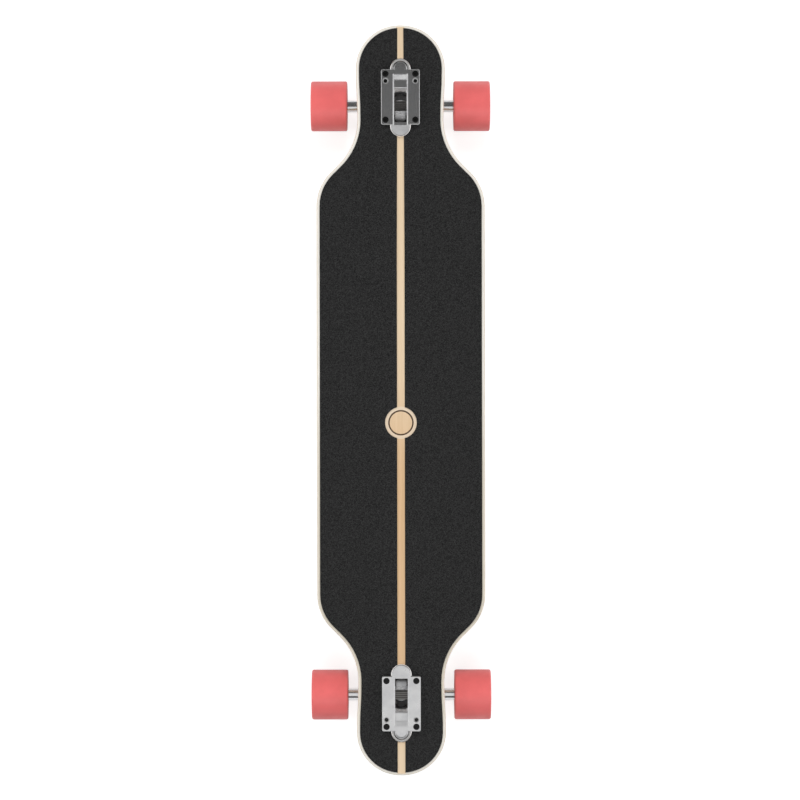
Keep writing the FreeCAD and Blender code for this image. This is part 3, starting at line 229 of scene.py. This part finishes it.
feed(tree, shader, mixed(tree, glue, plies, (0.22, 0.13, 0.07, 1)),
     ramp(tree, ends, 0.3, 0.7, 0.42, 0.62), calc(tree, "SUBTRACT", ends, glue), 0.00008)
dress(core, "deck_core")


# Grip tape: black grit bonded to a film, stuck down in two halves and trimmed along the rim.
# Single grains catch the light, and the wear is spread unevenly over the board.
grit, of_grit, to_grit = effect(
    "grit", {"Position": "Vector", "Grains per Metre": "Float"}, {"Tone": "Float", "Height": "Float"})
cells = put(grit, "ShaderNodeTexVoronoi", {"Vector": of_grit["Position"],
                                           "Scale": of_grit["Grains per Metre"]})
tone = put(grit, "ShaderNodeSeparateXYZ", {"Vector": cells.outputs["Color"]}).outputs["X"]
grit.links.new(tone, to_grit["Tone"])
grit.links.new(calc(grit, "SUBTRACT", calc(grit, "MULTIPLY", tone, 0.7), cells.outputs["Distance"]),
               to_grit["Height"])

tape, tree, shader, place = finish("black_grit", specular_ior_level=0.25)
sand = use(tree, grit, {"Position": place, "Grains per Metre": 1250.0})
fine = use(tree, grit, {"Position": place, "Grains per Metre": 2900.0})
patchy = noise(tree, place, 9, 4, 0.55)
shade = mixed(tree, sand["Tone"], (0.0055, 0.0055, 0.0057, 1), (0.042, 0.042, 0.042, 1))
sparks = calc(tree, "MULTIPLY", ramp(tree, fine["Tone"], 0.90, 0.98, 0.0, 0.35),
              ramp(tree, patchy, 0.35, 0.65, 0.4, 1.0))
feed(tree, shader, mixed(tree, sparks, shade, (0.12, 0.12, 0.125, 1)),
     ramp(tree, patchy, 0.35, 0.65, 0.80, 0.92),
     calc(tree, "ADD", sand["Height"], fine["Height"]), 0.00025)
dress(tape, "grip_tape_left", "grip_tape_right")


# Baseplates: cast aluminium let down through the deck, with the top face and the window's edges machined
# bright. Small scratches and a faint sand-cast tooth are left in the satin finish.
scuffs, of_scuffs, to_scuffs = effect(
    "scuffs", {"Position": "Vector", "Smooth": "Float", "Rough": "Float"},
    {"Roughness": "Float", "Height": "Float", "Haze": "Float"})
haze = noise(scuffs, of_scuffs["Position"], 60, 5, 0.6)
tooth = noise(scuffs, of_scuffs["Position"], 2200, 3, 0.6)
lines = noise(scuffs, stretched(scuffs, of_scuffs["Position"], (1, 0.05, 1)), 2600, 2, 0.5)
scuffs.links.new(put(scuffs, "ShaderNodeMapRange", {
    "Value": haze, "From Min": 0.3, "From Max": 0.7, "To Min": of_scuffs["Smooth"],
    "To Max": of_scuffs["Rough"]}).outputs["Result"], to_scuffs["Roughness"])
scuffs.links.new(calc(scuffs, "ADD", calc(scuffs, "MULTIPLY", tooth, 0.6), lines), to_scuffs["Height"])
scuffs.links.new(haze, to_scuffs["Haze"])

HOLE_ACROSS = 0.02065
SPARE_ALONG = 0.02223
SPOT_FACE = 0.0043
FLANGE_HALF = 0.0382
LIP_TOP = 0.0995
PLATE_TOP = 0.105
SHADED_SKIN_TOP = 0.0967
SLAB_TOP = 0.0955
RIB = 0.0027
BLUR = 0.0003
cast, tree, shader, place = finish("satin_cast_aluminium")
worn = use(tree, scuffs, {"Position": place, "Smooth": 0.26, "Rough": 0.36})
spot = put(tree, "ShaderNodeSeparateXYZ", {"Vector": place}).outputs
satin = mixed(tree, ramp(tree, worn["Haze"], 0.3, 0.7), (0.80, 0.80, 0.80, 1), (0.70, 0.70, 0.71, 1))
# Below the deck's top the casting keeps its cast skin, painted darker than bare cast metal as the shade
# inside the deep window, with ribs across the window's floor whose grooves are painted dark as shade.
skin_and_shade = ramp(tree, spot["Z"], SHADED_SKIN_TOP, SHADED_SKIN_TOP - BLUR)
off_slab = calc(tree, "ABSOLUTE", calc(tree, "SUBTRACT", spot["Z"], SLAB_TOP))
on_slab = calc(tree, "LESS_THAN", off_slab, BLUR)
wave = calc(tree, "SINE", calc(tree, "MULTIPLY", spot["Y"], 2 * math.pi / RIB))
# Painted shade: the grooves between the ribs on the window's floor are coloured near black.
ribs_and_shade = calc(tree, "MULTIPLY", ramp(tree, wave, -0.6, 0.9), on_slab)
shaded_skin_color = mixed(tree, ribs_and_shade, (0.30, 0.29, 0.28, 1), (0.09, 0.085, 0.08, 1))
# The lip of the outer tab is left as cast, and a painted shadow darkens the corner where the tab's nose rises
# from it.
beyond = calc(tree, "SUBTRACT", calc(tree, "ABSOLUTE", spot["Y"]), STATION + FLANGE_HALF)
lip = calc(tree, "MULTIPLY", calc(tree, "GREATER_THAN", beyond, 0.0),
           ramp(tree, spot["Z"], LIP_TOP + 0.0006, LIP_TOP))
satin = mixed(tree, lip, satin, (0.62, 0.61, 0.60, 1))
# Painted shadow: a dark band on the tab's nose, just above the lip.
corner = calc(tree, "MULTIPLY", ramp(tree, spot["Z"], LIP_TOP + 0.0004, LIP_TOP + 0.0010),
              ramp(tree, spot["Z"], PLATE_TOP - 0.0006, PLATE_TOP - 0.0018))
corner = calc(tree, "MULTIPLY", corner, ramp(tree, beyond, 0.002, 0.006))
satin = mixed(tree, corner, satin, (0.13, 0.125, 0.12, 1))
# A drill has faced the plate roughly round each spare hole.
from_spare = apart(tree, calc(tree, "SUBTRACT", calc(tree, "ABSOLUTE", spot["X"]), HOLE_ACROSS),
                   calc(tree, "SUBTRACT", calc(tree, "ABSOLUTE", spot["Y"]), STATION + SPARE_ALONG))
faced = ramp(tree, from_spare, SPOT_FACE, SPOT_FACE - BLUR)
satin = mixed(tree, faced, satin, (0.64, 0.64, 0.64, 1))
matt = calc(tree, "MAXIMUM", lip, faced)
bare = calc(tree, "SUBTRACT", ramp(tree, lip, 0.0, 1.0, 1.0, 0.4), calc(tree, "MULTIPLY", faced, 0.25))
tree.links.new(bare, shader.inputs["Metallic"])
rough = calc(tree, "MAXIMUM", worn["Roughness"], calc(tree, "MULTIPLY", skin_and_shade, 0.5))
rough = calc(tree, "MAXIMUM", rough, calc(tree, "MULTIPLY", matt, 0.58))
feed(tree, shader, mixed(tree, skin_and_shade, satin, shaded_skin_color), rough,
     calc(tree, "SUBTRACT", worn["Height"], calc(tree, "MULTIPLY", ribs_and_shade, 12.0)), 0.00002)
dress(cast, "front_baseplate", "rear_baseplate")


# Mounting bolts and nuts: button-headed steel bolts, blackened, that go through the plate and the deck.
# Lock nuts hold them below, each with a crimped collar.
def coating(name, first, second, smooth, rough, relief, **plain):
    """A finish of two tones that mix in hazy patches, with fine scratches."""
    material, tree, shader, place = finish(name, **plain)
    worn = use(tree, scuffs, {"Position": place, "Smooth": smooth, "Rough": rough})
    color = mixed(tree, worn["Haze"], first + (1,), second + (1,))
    feed(tree, shader, color, worn["Roughness"], worn["Height"], relief)
    return material


black = coating("black_oxide", (0.002, 0.002, 0.002), (0.010, 0.010, 0.010), smooth=0.36, rough=0.52,
                relief=0.00002, specular_ior_level=0.25)
ENDS = (("front", 1), ("rear", -1))
AROUND = 72
BOLT_ALONG = 0.03175
NUT_TALL = 0.0055
NUT_WIDTH = 0.0087
NUT_BORE = 0.00246


def surface(name, grids, material, capped=False):
    """One mesh through one or more grids of points, one quad to each cell. Each row closes on itself, and the
    last row joins the first. With caps, the first and the last row are each closed to a point in their
    middle."""
    grids = np.array(grids)
    count, rows, columns = grids.shape[:3]
    row, column = np.meshgrid(np.arange(rows - capped), np.arange(columns), indexing="ij")
    below, beside = (row + 1) % rows, (column + 1) % columns
    quads = np.stack([row * columns + column, row * columns + beside,
                      below * columns + beside, below * columns + column], axis=-1).reshape(-1, 4)
    begin = np.arange(count)[:, None] * rows * columns
    points, faces = grids.reshape(-1, 3), (quads + begin[..., None]).reshape(-1, 4).tolist()
    if capped:
        points = np.vstack([points, grids[:, 0].mean(axis=1), grids[:, -1].mean(axis=1)])
        first = begin + np.arange(columns)
        after = begin + np.roll(np.arange(columns), -1)
        pole = np.broadcast_to(np.arange(count)[:, None] + count * rows * columns, first.shape)
        last = (rows - 1) * columns
        faces += np.stack([pole, after, first], axis=-1).reshape(-1, 3).tolist()
        faces += np.stack([pole + count, first + last, after + last], axis=-1).reshape(-1, 3).tolist()
    mesh = bpy.data.meshes.new(name)
    mesh.from_pydata(points.tolist(), [], faces)
    mesh.polygons.foreach_set("use_smooth", np.ones(len(faces), bool))
    mesh.set_sharp_from_angle(angle=math.radians(28))
    mesh.materials.append(material)
    piece = bpy.data.objects.new(name, mesh)
    bpy.context.scene.collection.objects.link(piece)
    return piece


def rings(heights, radii, start, axis, around):
    """Rings about an axis. A point at height h, angle t and radius r stands at
    start + h * axis + r * (cos t * side + sin t * front). Rows of an outer wall run down the axis."""
    axis = np.array(axis, float) / np.linalg.norm(axis)
    side = np.array([0.0, 1.0, 0.0]) if abs(axis[0]) > 0.5 else np.array([1.0, 0.0, 0.0])
    angle = np.linspace(0, 2 * math.pi, around, endpoint=False)[:, None]
    ring = np.cos(angle) * side + np.sin(angle) * np.cross(side, axis)
    radii = np.broadcast_to(radii, (len(heights), around))
    return np.array(start, float) + heights[:, None, None] * axis + radii[..., None] * ring


def mounted(piece, body, node):
    """Puts a new piece on its body, and hides the plain solid that it stands for."""
    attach(piece, body)
    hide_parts(node)


def hexagon(around, width, turn=0.0):
    """Radius of a hexagon at each angle: half its width over the cosine of the angle from the nearest
    flat."""
    angle = np.linspace(0, 2 * math.pi, around, endpoint=False) + turn
    sixth = math.pi / 3
    return width / 2 / np.cos((angle + sixth / 2) % sixth - sixth / 2)


def lock_nuts(name, spots, axis, low, high, width, bore, material, turn=0.0):
    """Lock nuts: a hexagon cut by a flat cone at both ends, and a round crimped collar above it. The rows go
    up the bore, down the collar and down the flats, where the radius is the smaller of the hexagon's and
    the cones'."""
    tall = high - low
    collar, step = 0.46 * width, low + 0.68 * tall
    chamfer = 0.12 * tall
    flats = np.concatenate([np.linspace(step, step - chamfer, 6), np.linspace(low + chamfer, low, 6)])
    cone = 0.475 * width + 1.8 * np.minimum(flats - low, step - flats)
    heights = np.concatenate([[low, high, high, high - 0.08 * tall, high - 0.25 * tall, step], flats])
    radii = np.empty((len(heights), AROUND))
    radii[:6] = np.array([bore, bore, collar - 0.1 * width, collar, collar, collar])[:, None]
    radii[6:] = np.minimum(hexagon(AROUND, width, turn), cone[:, None])
    return surface(name, [rings(heights, radii, spot, axis, AROUND) for spot in spots], material)


for end, sign in ENDS:
    dress(black, end + "_mounting_bolts")
    spots = [(x, sign * STATION + y, DECK_BOTTOM) for x in (-HOLE_ACROSS, HOLE_ACROSS)
             for y in (-BOLT_ALONG, BOLT_ALONG)]
    nuts = lock_nuts(end + "_mounting_lock_nuts", spots, (0, 0, -1), 0.0, NUT_TALL, NUT_WIDTH, NUT_BORE,
                     black)
    mounted(nuts, "deck", end + "_mounting_nuts")


# Kingpins, their nuts and washers: zinc-plated steel, square to the steering axis. The hexagon head sits in
# the baseplate's window, and the lock nut at the road end squeezes the bushings between the pressed washers.
def metal(name, pale, dark, smooth, rough, relief, metallic=1.0):
    """Bare metal with hazy patches that are set off more clearly, and fine scratches."""
    material, tree, shader, place = finish(name, metallic=metallic)
    worn = use(tree, scuffs, {"Position": place, "Smooth": smooth, "Rough": rough})
    color = mixed(tree, ramp(tree, worn["Haze"], 0.3, 0.7), pale + (1,), dark + (1,))
    feed(tree, shader, color, worn["Roughness"], worn["Height"], relief)
    return material


plated = metal("zinc_plated_steel", (0.84, 0.84, 0.84), (0.70, 0.70, 0.71), smooth=0.30, rough=0.44,
               relief=0.00002, metallic=0.75)
STEER = math.radians(50)
RING_Y = 0.4220657
RING_Z = 0.0726157
PIN = 0.00475
PITCH = 0.00106
GROOVE = 0.55 * PITCH
ROWS_PER_PITCH = 7


def rounded_path(corners, radii, steps=6):
    """A closed outline whose corners are rounded. Each arc is a circle about the corner's inner centre,
    from the tangent point on one side to the one on the other."""
    corners = np.array(corners, float)
    runs = []
    for index, radius in enumerate(radii):
        corner = corners[index]
        before = corners[index - 1] - corner
        after = corners[(index + 1) % len(corners)] - corner
        before /= np.linalg.norm(before)
        after /= np.linalg.norm(after)
        half = math.acos(np.clip(before @ after, -1, 1)) / 2
        if radius == 0:
            runs.append(corner[None])
            continue
        centre = corner + (before + after) / np.linalg.norm(before + after) * radius / math.sin(half)
        first = corner + before * radius / math.tan(half) - centre
        last = corner + after * radius / math.tan(half) - centre
        share = np.linspace(0, 1, steps)[:, None]
        swept = math.pi - 2 * half
        runs.append(centre + (np.sin((1 - share) * swept) * first + np.sin(share * swept) * last)
                    / math.sin(swept))
    return np.vstack(runs)


def turned(name, outline, spots, axis, material, around):
    """Pieces of the lathe: a closed outline of height and radius, carried round an axis at each spot. The
    outline goes up the bore and down the outside."""
    grids = [rings(outline[:, 0], outline[:, 1:], spot, axis, around) for spot in spots]
    return surface(name, grids, material)


def thread(low, high, radius, around):
    """Heights and radii of a screw thread: the crest less a groove that opens and closes once in each pitch,
    and that moves on by one pitch in each turn."""
    heights = np.arange(low, high, PITCH / ROWS_PER_PITCH)
    turn = np.linspace(0, 1, around, endpoint=False)
    phase = (heights[:, None] / PITCH + turn) % 1.0
    return heights, radius - GROOVE * np.clip(1.25 - 2.5 * np.abs(phase - 0.5), 0, 1)


def pin(name, sections, start, axis, material, around=AROUND):
    """A solid pin: sections of heights and radii, one after another up the axis, closed at both ends."""
    heights = np.concatenate([heights for heights, radii in sections])
    radii = np.vstack([np.broadcast_to(radii, (len(heights), around)) for heights, radii in sections])
    return surface(name, [rings(heights[::-1], radii[::-1], start, axis, around)], material, capped=True)


def pin_line(sign):
    """The middle of a truck's ring, and the way that its kingpin points from there towards the road."""
    return (np.array([0.0, sign * RING_Y, RING_Z]),
            np.array([0.0, sign * math.sin(STEER), -math.cos(STEER)]))


# Heights along the kingpin, from the middle of the ring towards the road.
HEAD_TOP, HEAD_SEAT, PIN_END = -0.0404, -0.0354, 0.029
HEAD_WIDTH = 0.0143
HEAD_CHAMFER = 0.0004
SHANK_END, THREAD_START = 0.015, 0.0152
BOARD_SEAT, ROAD_SEAT = -0.018, 0.016
WASHER = 0.002
WASHER_BORE = 0.0052
BOARD_WASHER, ROAD_WASHER = 0.013, 0.011
BORE_EDGE, WASHER_EDGE = 0.0003, 0.0007
PIN_NUT = 0.008
NUT_PLAY = 0.00006
head = np.append(np.linspace(HEAD_TOP, HEAD_TOP + HEAD_CHAMFER, 5), HEAD_SEAT)
head_radii = np.minimum(hexagon(AROUND, HEAD_WIDTH), 0.545 * HEAD_WIDTH + 1.8 * (head[:, None] - HEAD_TOP))
shank = np.array([HEAD_SEAT, SHANK_END])
tip = np.array([PIN_END])
sections = [(head, head_radii), (shank, PIN), thread(THREAD_START, PIN_END - GROOVE, PIN, AROUND),
            (tip, PIN - GROOVE)]
nut_seat = ROAD_SEAT + WASHER
for end, sign in ENDS:
    middle, down = pin_line(sign)
    kingpin = pin(end + "_kingpin_bolt", sections, middle, down, plated)
    mounted(kingpin, "deck", end + "_kingpin")
    nut = lock_nuts(end + "_kingpin_lock_nut", [middle], down, nut_seat, nut_seat + PIN_NUT, HEAD_WIDTH,
                    PIN + NUT_PLAY, plated)
    mounted(nut, "deck", end + "_kingpin_nut")
    for piece, low, radius in (("boardside_washer", BOARD_SEAT - WASHER, BOARD_WASHER),
                               ("roadside_washer", ROAD_SEAT, ROAD_WASHER)):
        high = low + WASHER
        section = [(low, WASHER_BORE), (high, WASHER_BORE), (high, radius), (low, radius)]
        path = rounded_path(section, (BORE_EDGE, BORE_EDGE, WASHER_EDGE, WASHER_EDGE))
        washer = turned(end + "_" + piece + "_pressed", path, [middle], down, plated, AROUND)
        mounted(washer, "deck", end + "_" + piece)


# Bushings: cast urethane, a barrel above the ring and a cone below it, squeezed between the washers.
def subdivided(path, longest):
    """The same closed outline with points added along its straight runs."""
    following = np.roll(path, -1, axis=0)
    counts = np.maximum(np.ceil(np.linalg.norm(following - path, axis=1) / longest).astype(int), 1)
    which = np.repeat(np.arange(len(path)), counts)
    step = np.arange(len(which)) - np.repeat(np.cumsum(counts) - counts, counts)
    share = (step / counts[which])[:, None]
    return path[which] * (1 - share) + following[which] * share


urethane = coating("dark_urethane", (0.024, 0.024, 0.025), (0.045, 0.045, 0.046), smooth=0.30, rough=0.45,
                   relief=0.00003)
BORE = 0.00515
RING_HALF_TALL = 0.004
BARREL_WIDE, BARREL_END = 0.0120, 0.0118
BARREL_LOW, BARREL_HIGH = -0.0075, -0.0145
CONE_WIDE, CONE_NARROW = 0.0119, 0.0094
BORE_ROUND, RIM_ROUND, BARREL_ROUND = 0.0004, 0.0009, 0.006
BUSHING_CELL = 0.001
barrel = rounded_path(
    [(BOARD_SEAT, BORE), (-RING_HALF_TALL, BORE), (-RING_HALF_TALL, BARREL_END), (BARREL_LOW, BARREL_WIDE),
     (BARREL_HIGH, BARREL_WIDE), (BOARD_SEAT, BARREL_END)],
    (BORE_ROUND, BORE_ROUND, RIM_ROUND, BARREL_ROUND, BARREL_ROUND, RIM_ROUND))
cone = rounded_path(
    [(RING_HALF_TALL, BORE), (ROAD_SEAT, BORE), (ROAD_SEAT, CONE_NARROW), (RING_HALF_TALL, CONE_WIDE)],
    (BORE_ROUND, BORE_ROUND, RIM_ROUND, RIM_ROUND))
for end, sign in ENDS:
    middle, down = pin_line(sign)
    for piece, outline, fixed, moving in (("boardside_bushing", barrel, BOARD_SEAT, -RING_HALF_TALL),
                                          ("roadside_bushing", cone, ROAD_SEAT, RING_HALF_TALL)):
        path = subdivided(outline, BUSHING_CELL)
        bushing = turned(end + "_" + piece + "_urethane", path, [middle], down, urethane, AROUND)
        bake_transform(bushing)
        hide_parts(end + "_" + piece)


# Pivot cups: black moulded plastic, pressed into the baseplate's tower. The hanger's nose turns in them as
# the truck steers.
plastic = coating("black_moulded_plastic", (0.018, 0.018, 0.018), (0.035, 0.035, 0.035), smooth=0.38,
                  rough=0.55, relief=0.00004)
dress(plastic, "front_pivot_cup", "rear_pivot_cup")


# Hangers: cast aluminium, blasted to a satin about the ring and the web. The round arms that carry the wheels
# are turned and polished bright.
ARM_START = 0.050
polished, tree, shader, place = finish("polished_aluminium", metallic=1.0)
worn = use(tree, scuffs, {"Position": place, "Smooth": 0.08, "Rough": 0.16})
out = calc(tree, "ABSOLUTE", put(tree, "ShaderNodeSeparateXYZ", {"Vector": place}).outputs["X"])
blasted = ramp(tree, out, ARM_START + 0.004, ARM_START)
bright = mixed(tree, ramp(tree, worn["Haze"], 0.3, 0.7), (0.84, 0.84, 0.84, 1), (0.76, 0.76, 0.77, 1))
feed(tree, shader, mixed(tree, blasted, bright, (0.66, 0.66, 0.665, 1)),
     calc(tree, "ADD", worn["Roughness"], calc(tree, "MULTIPLY", blasted, 0.26)),
     calc(tree, "MULTIPLY", worn["Height"], ramp(tree, blasted, 0.0, 1.0, 1.0, 3.5)), 0.00001)
dress(polished, "front_hanger", "rear_hanger")


# Axles: steel rods cast through the hangers, threaded at both ends for the lock nuts that hold the wheels
# on. A thin washer on each side keeps the nut and the hanger off the bearings' outer rings, and a spacer
# sits between the two bearings.
AXLE_END = 0.124
AXLE = 0.004
WHEEL_Y = 0.414
AXLE_Z = 0.035
NUT_IN, NUT_OUT = 0.115, 0.1218
AXLE_NUT_WIDTH = 0.0127
AXLE_THREAD = NUT_IN - 0.002
AXLE_SHANK = NUT_IN - 0.0022
AXLE_AROUND = 48
HANDS = (("left", -1), ("right", 1))
low_thread = thread(-AXLE_END + GROOVE, -AXLE_THREAD, AXLE, AXLE_AROUND)
high_thread = thread(AXLE_THREAD, AXLE_END - GROOVE, AXLE, AXLE_AROUND)
sections = [(np.array([-AXLE_END]), AXLE - GROOVE), low_thread, (np.array([-AXLE_SHANK, AXLE_SHANK]), AXLE),
            high_thread, (np.array([AXLE_END]), AXLE - GROOVE)]
for end, sign in ENDS:
    middle = (0.0, sign * WHEEL_Y, AXLE_Z)
    axle = pin(end + "_threaded_axle", sections, middle, (1, 0, 0), plated, AXLE_AROUND)
    mounted(axle, end + "_truck", end + "_axle")
    for hand, side in HANDS:
        nut = lock_nuts("%s_%s_axle_lock_nut" % (end, hand), [middle], (side, 0, 0), NUT_IN, NUT_OUT,
                        AXLE_NUT_WIDTH, AXLE + NUT_PLAY, plated, turn=math.pi / 6)
        mounted(nut, end + "_truck", end + "_axle_nuts")
    dress(plated, end + "_speed_washers", end + "_bearing_spacers")


# Bearings: two to each wheel, with ground steel rings and balls, pressed into the hub. A thin dark shield is
# pressed into each side to keep the grit out.
ground = metal("ground_bearing_steel", (0.72, 0.72, 0.73), (0.60, 0.60, 0.62), smooth=0.06, rough=0.14,
               relief=0.000005)
shield = coating("dark_shield", (0.012, 0.012, 0.013), (0.03, 0.03, 0.032), smooth=0.28, rough=0.42,
                 relief=0.00002)
WHEELS = ("front_left", "front_right", "rear_left", "rear_right")
dress(ground, "front_bearing_inner_rings", "rear_bearing_inner_rings")
for wheel in WHEELS:
    dress(ground, wheel + "_bearing_outer_rings", wheel + "_bearing_balls")
    dress(shield, wheel + "_bearing_shields")


# Hubs: pale moulded plastic. The tyre is cast round them, and each one carries the two bearings of its
# wheel.
moulded = coating("pale_moulded_plastic", (0.78, 0.76, 0.71), (0.68, 0.66, 0.61), smooth=0.35, rough=0.5,
                  relief=0.00004)
dress(moulded, *(wheel + "_hub" for wheel in WHEELS))


# Tyres: coral urethane, cast round the hubs, with a broad flat tread, rounded lips and a cone-shaped mouth.
# The sides carry a shallow moulded band, and the tread has the fine rings that truing it on a lathe leaves.
coral, tree, shader, place = finish("coral_urethane", coat_weight=0.12, coat_roughness=0.25)
cloud = noise(tree, place, 45, 4, 0.6)
tooth = noise(tree, place, 1500, 3, 0.6)
feed(tree, shader, mixed(tree, ramp(tree, cloud, 0.3, 0.7), (0.88, 0.164, 0.162, 1), (0.82, 0.150, 0.148, 1)),
     ramp(tree, cloud, 0.3, 0.7, 0.36, 0.48),
     calc(tree, "ADD", tooth, noise(tree, stretched(tree, place, (1, 0, 0)), 1600, 2, 0.5)), 0.00003)
WHEEL_X = 0.1025
SETOFF = 0.0024
HALF_TYRE = 0.0255
HALF_HUB = 0.012
TREAD, MOUTH, THROAT = 0.0350, 0.019, 0.016
BAND_OUT, BAND_IN, BAND_DEEP, BAND_SLOPE = 0.0305, 0.0228, 0.0003, 0.0005
LIP_ROUND, MOUTH_ROUND, BAND_ROUND = 0.0025, 0.0012, 0.0002
TYRE_CELL = 0.0016
TYRE_AROUND = 144
inner, outer = -HALF_TYRE - SETOFF, HALF_TYRE - SETOFF
outline = [(HALF_HUB, THROAT), (outer, MOUTH), (outer, BAND_IN),
           (outer - BAND_DEEP, BAND_IN + BAND_SLOPE), (outer - BAND_DEEP, BAND_OUT - BAND_SLOPE),
           (outer, BAND_OUT), (outer, TREAD), (inner, TREAD), (inner, BAND_OUT),
           (inner + BAND_DEEP, BAND_OUT - BAND_SLOPE), (inner + BAND_DEEP, BAND_IN + BAND_SLOPE),
           (inner, BAND_IN), (inner, MOUTH), (-HALF_HUB, THROAT)]
half = (0, MOUTH_ROUND) + (BAND_ROUND,) * 4 + (LIP_ROUND,)
path = subdivided(rounded_path(outline, half + half[::-1], steps=8), TYRE_CELL)
for end, sign in ENDS:
    for hand, side in HANDS:
        wheel = end + "_" + hand
        spots = [(side * WHEEL_X, sign * WHEEL_Y, AXLE_Z)]
        tyre = turned(wheel + "_tyre_urethane", path, spots, (side, 0, 0), coral, TYRE_AROUND)
        mounted(tyre, wheel + "_wheel", wheel + "_tyre")


# The studio: a plain white floor, clear from below, that keeps a faint shadow under an even white surround.
# Soft lamps stand beyond the nose, the tail and both sides, and a panel over the tail half is what the bright
# metal reflects.
FLOOR_REACH = 12.0
FLOOR_GLOW = 0.72
GLOW_RISE = (1.2, 4.0)
MIRRORED_GLOW = 0.40
floor_mesh = bpy.data.meshes.new("studio_floor")
corners = np.array([(-1, -1, 0), (1, -1, 0), (1, 1, 0), (-1, 1, 0)]) * FLOOR_REACH
floor_mesh.from_pydata(corners.tolist(), [], [(0, 1, 2, 3)])
floor = bpy.data.objects.new("studio_floor", floor_mesh)
bpy.context.scene.collection.objects.link(floor)
paper, tree, shader, place = finish("white_paper", roughness=0.9)
shader.inputs["Base Color"].default_value = (0.55, 0.55, 0.55, 1)
shader.inputs["Emission Color"].default_value = (1, 1, 1, 1)
ray = put(tree, "ShaderNodeLightPath").outputs
mirrored = calc(tree, "MAXIMUM", ray["Is Glossy Ray"], ray["Is Transmission Ray"])
level = put(tree, "ShaderNodeVectorMath", {0: place}, operation="LENGTH").outputs["Value"]
seen = calc(tree, "MULTIPLY", ray["Is Camera Ray"], ramp(tree, level, *GLOW_RISE, FLOOR_GLOW, 1.0))
glow = calc(tree, "ADD", seen, calc(tree, "MULTIPLY", mirrored, MIRRORED_GLOW))
tree.links.new(glow, shader.inputs["Emission Strength"])
tree.links.new(calc(tree, "SUBTRACT", 1.0, put(tree, "ShaderNodeNewGeometry").outputs["Backfacing"]),
               shader.inputs["Alpha"])
floor_mesh.materials.append(paper)

AMBIENT = 0.36
world = bpy.data.worlds.new("studio")
bpy.context.scene.world = world
world.use_nodes = True
tree = world.node_tree
backdrop = tree.nodes["Background"]
ray = put(tree, "ShaderNodeLightPath").outputs
toward = put(tree, "ShaderNodeSeparateXYZ", {
    "Vector": put(tree, "ShaderNodeTexCoord").outputs["Generated"]}).outputs
room = mixed(tree, ramp(tree, toward["Z"], 0.02, 0.16), (0.45, 0.45, 0.45, 1), (1, 1, 1, 1))
dim = calc(tree, "MAXIMUM", ramp(tree, toward["Z"], 0.34, 0.54),
           ramp(tree, toward["Y"], 0.25, 0.70, 0.0, 0.9))
room = mixed(tree, dim, room, (0.11, 0.11, 0.11, 1))
around_it = mixed(tree, ray["Is Glossy Ray"], (AMBIENT, AMBIENT, AMBIENT, 1), room)
clear = calc(tree, "MAXIMUM", ray["Is Camera Ray"], ray["Is Transmission Ray"])
tree.links.new(mixed(tree, clear, around_it, (1, 1, 1, 1)), backdrop.inputs["Color"])
backdrop.inputs["Strength"].default_value = 1.0


def soft_lamp(name, spot, target, width, length, power):
    """A soft rectangular lamp that faces a point. The camera doesn't see it."""
    lamp = bpy.data.lights.new(name, "AREA")
    lamp.shape = "RECTANGLE"
    lamp.size = width
    lamp.size_y = length
    lamp.energy = power
    item = bpy.data.objects.new(name, lamp)
    item.location = spot
    facing = np.array(target, float) - np.array(spot)
    level = math.hypot(facing[0], facing[1])
    item.rotation_euler = (math.atan2(level, -facing[2]), 0, math.atan2(-facing[0], facing[1]))
    item.visible_camera = False
    bpy.context.scene.collection.objects.link(item)
    return item


BOARD_MIDDLE = (0, 0, 0.08)
LAMP = 1.6
for name, spot, power in (("nose_lamp", (0.0, 3.0, 3.6), 83), ("tail_lamp", (0.0, -2.2, 3.4), 27),
                          ("left_lamp", (-2.4, 0.0, 1.35), 24), ("right_lamp", (2.4, 0.0, 1.35), 20)):
    soft_lamp(name, spot, BOARD_MIDDLE, LAMP, LAMP, power).visible_glossy = False
PANEL_WIDTH, PANEL_LENGTH = 3.0, 1.05
PANEL_Y, PANEL_Z = -0.345, 1.1
PANEL_GLOW = 0.68
panel = soft_lamp("tail_panel", (0, PANEL_Y, PANEL_Z), (0, PANEL_Y, 0), PANEL_WIDTH, PANEL_LENGTH,
                  PANEL_GLOW * math.pi * PANEL_WIDTH * PANEL_LENGTH)
panel.visible_diffuse = False


# The camera hangs straight above the board's middle with a long lens, the nose at the top of the
# picture.
BOARD_PIXELS = 750.3
BOARD_LENGTH = 1.041
PICTURE = 800
SENSOR = 36.0
DISTANCE = 4.0
DECK_TOP = 0.094
AIM_X, AIM_Y = -0.00125, 0.0005
TWIST = math.radians(-0.1)
view = bpy.data.cameras.new("overhead")
view.sensor_width = SENSOR
view.sensor_fit = "HORIZONTAL"
view.lens = SENSOR * DISTANCE * BOARD_PIXELS / BOARD_LENGTH / PICTURE
camera = bpy.data.objects.new("overhead", view)
camera.location = (AIM_X, AIM_Y, DISTANCE + DECK_TOP)
camera.rotation_euler = (0, 0, TWIST)
bpy.context.scene.collection.objects.link(camera)
bpy.context.scene.camera = camera
bpy.context.scene.view_settings.view_transform = "Standard"
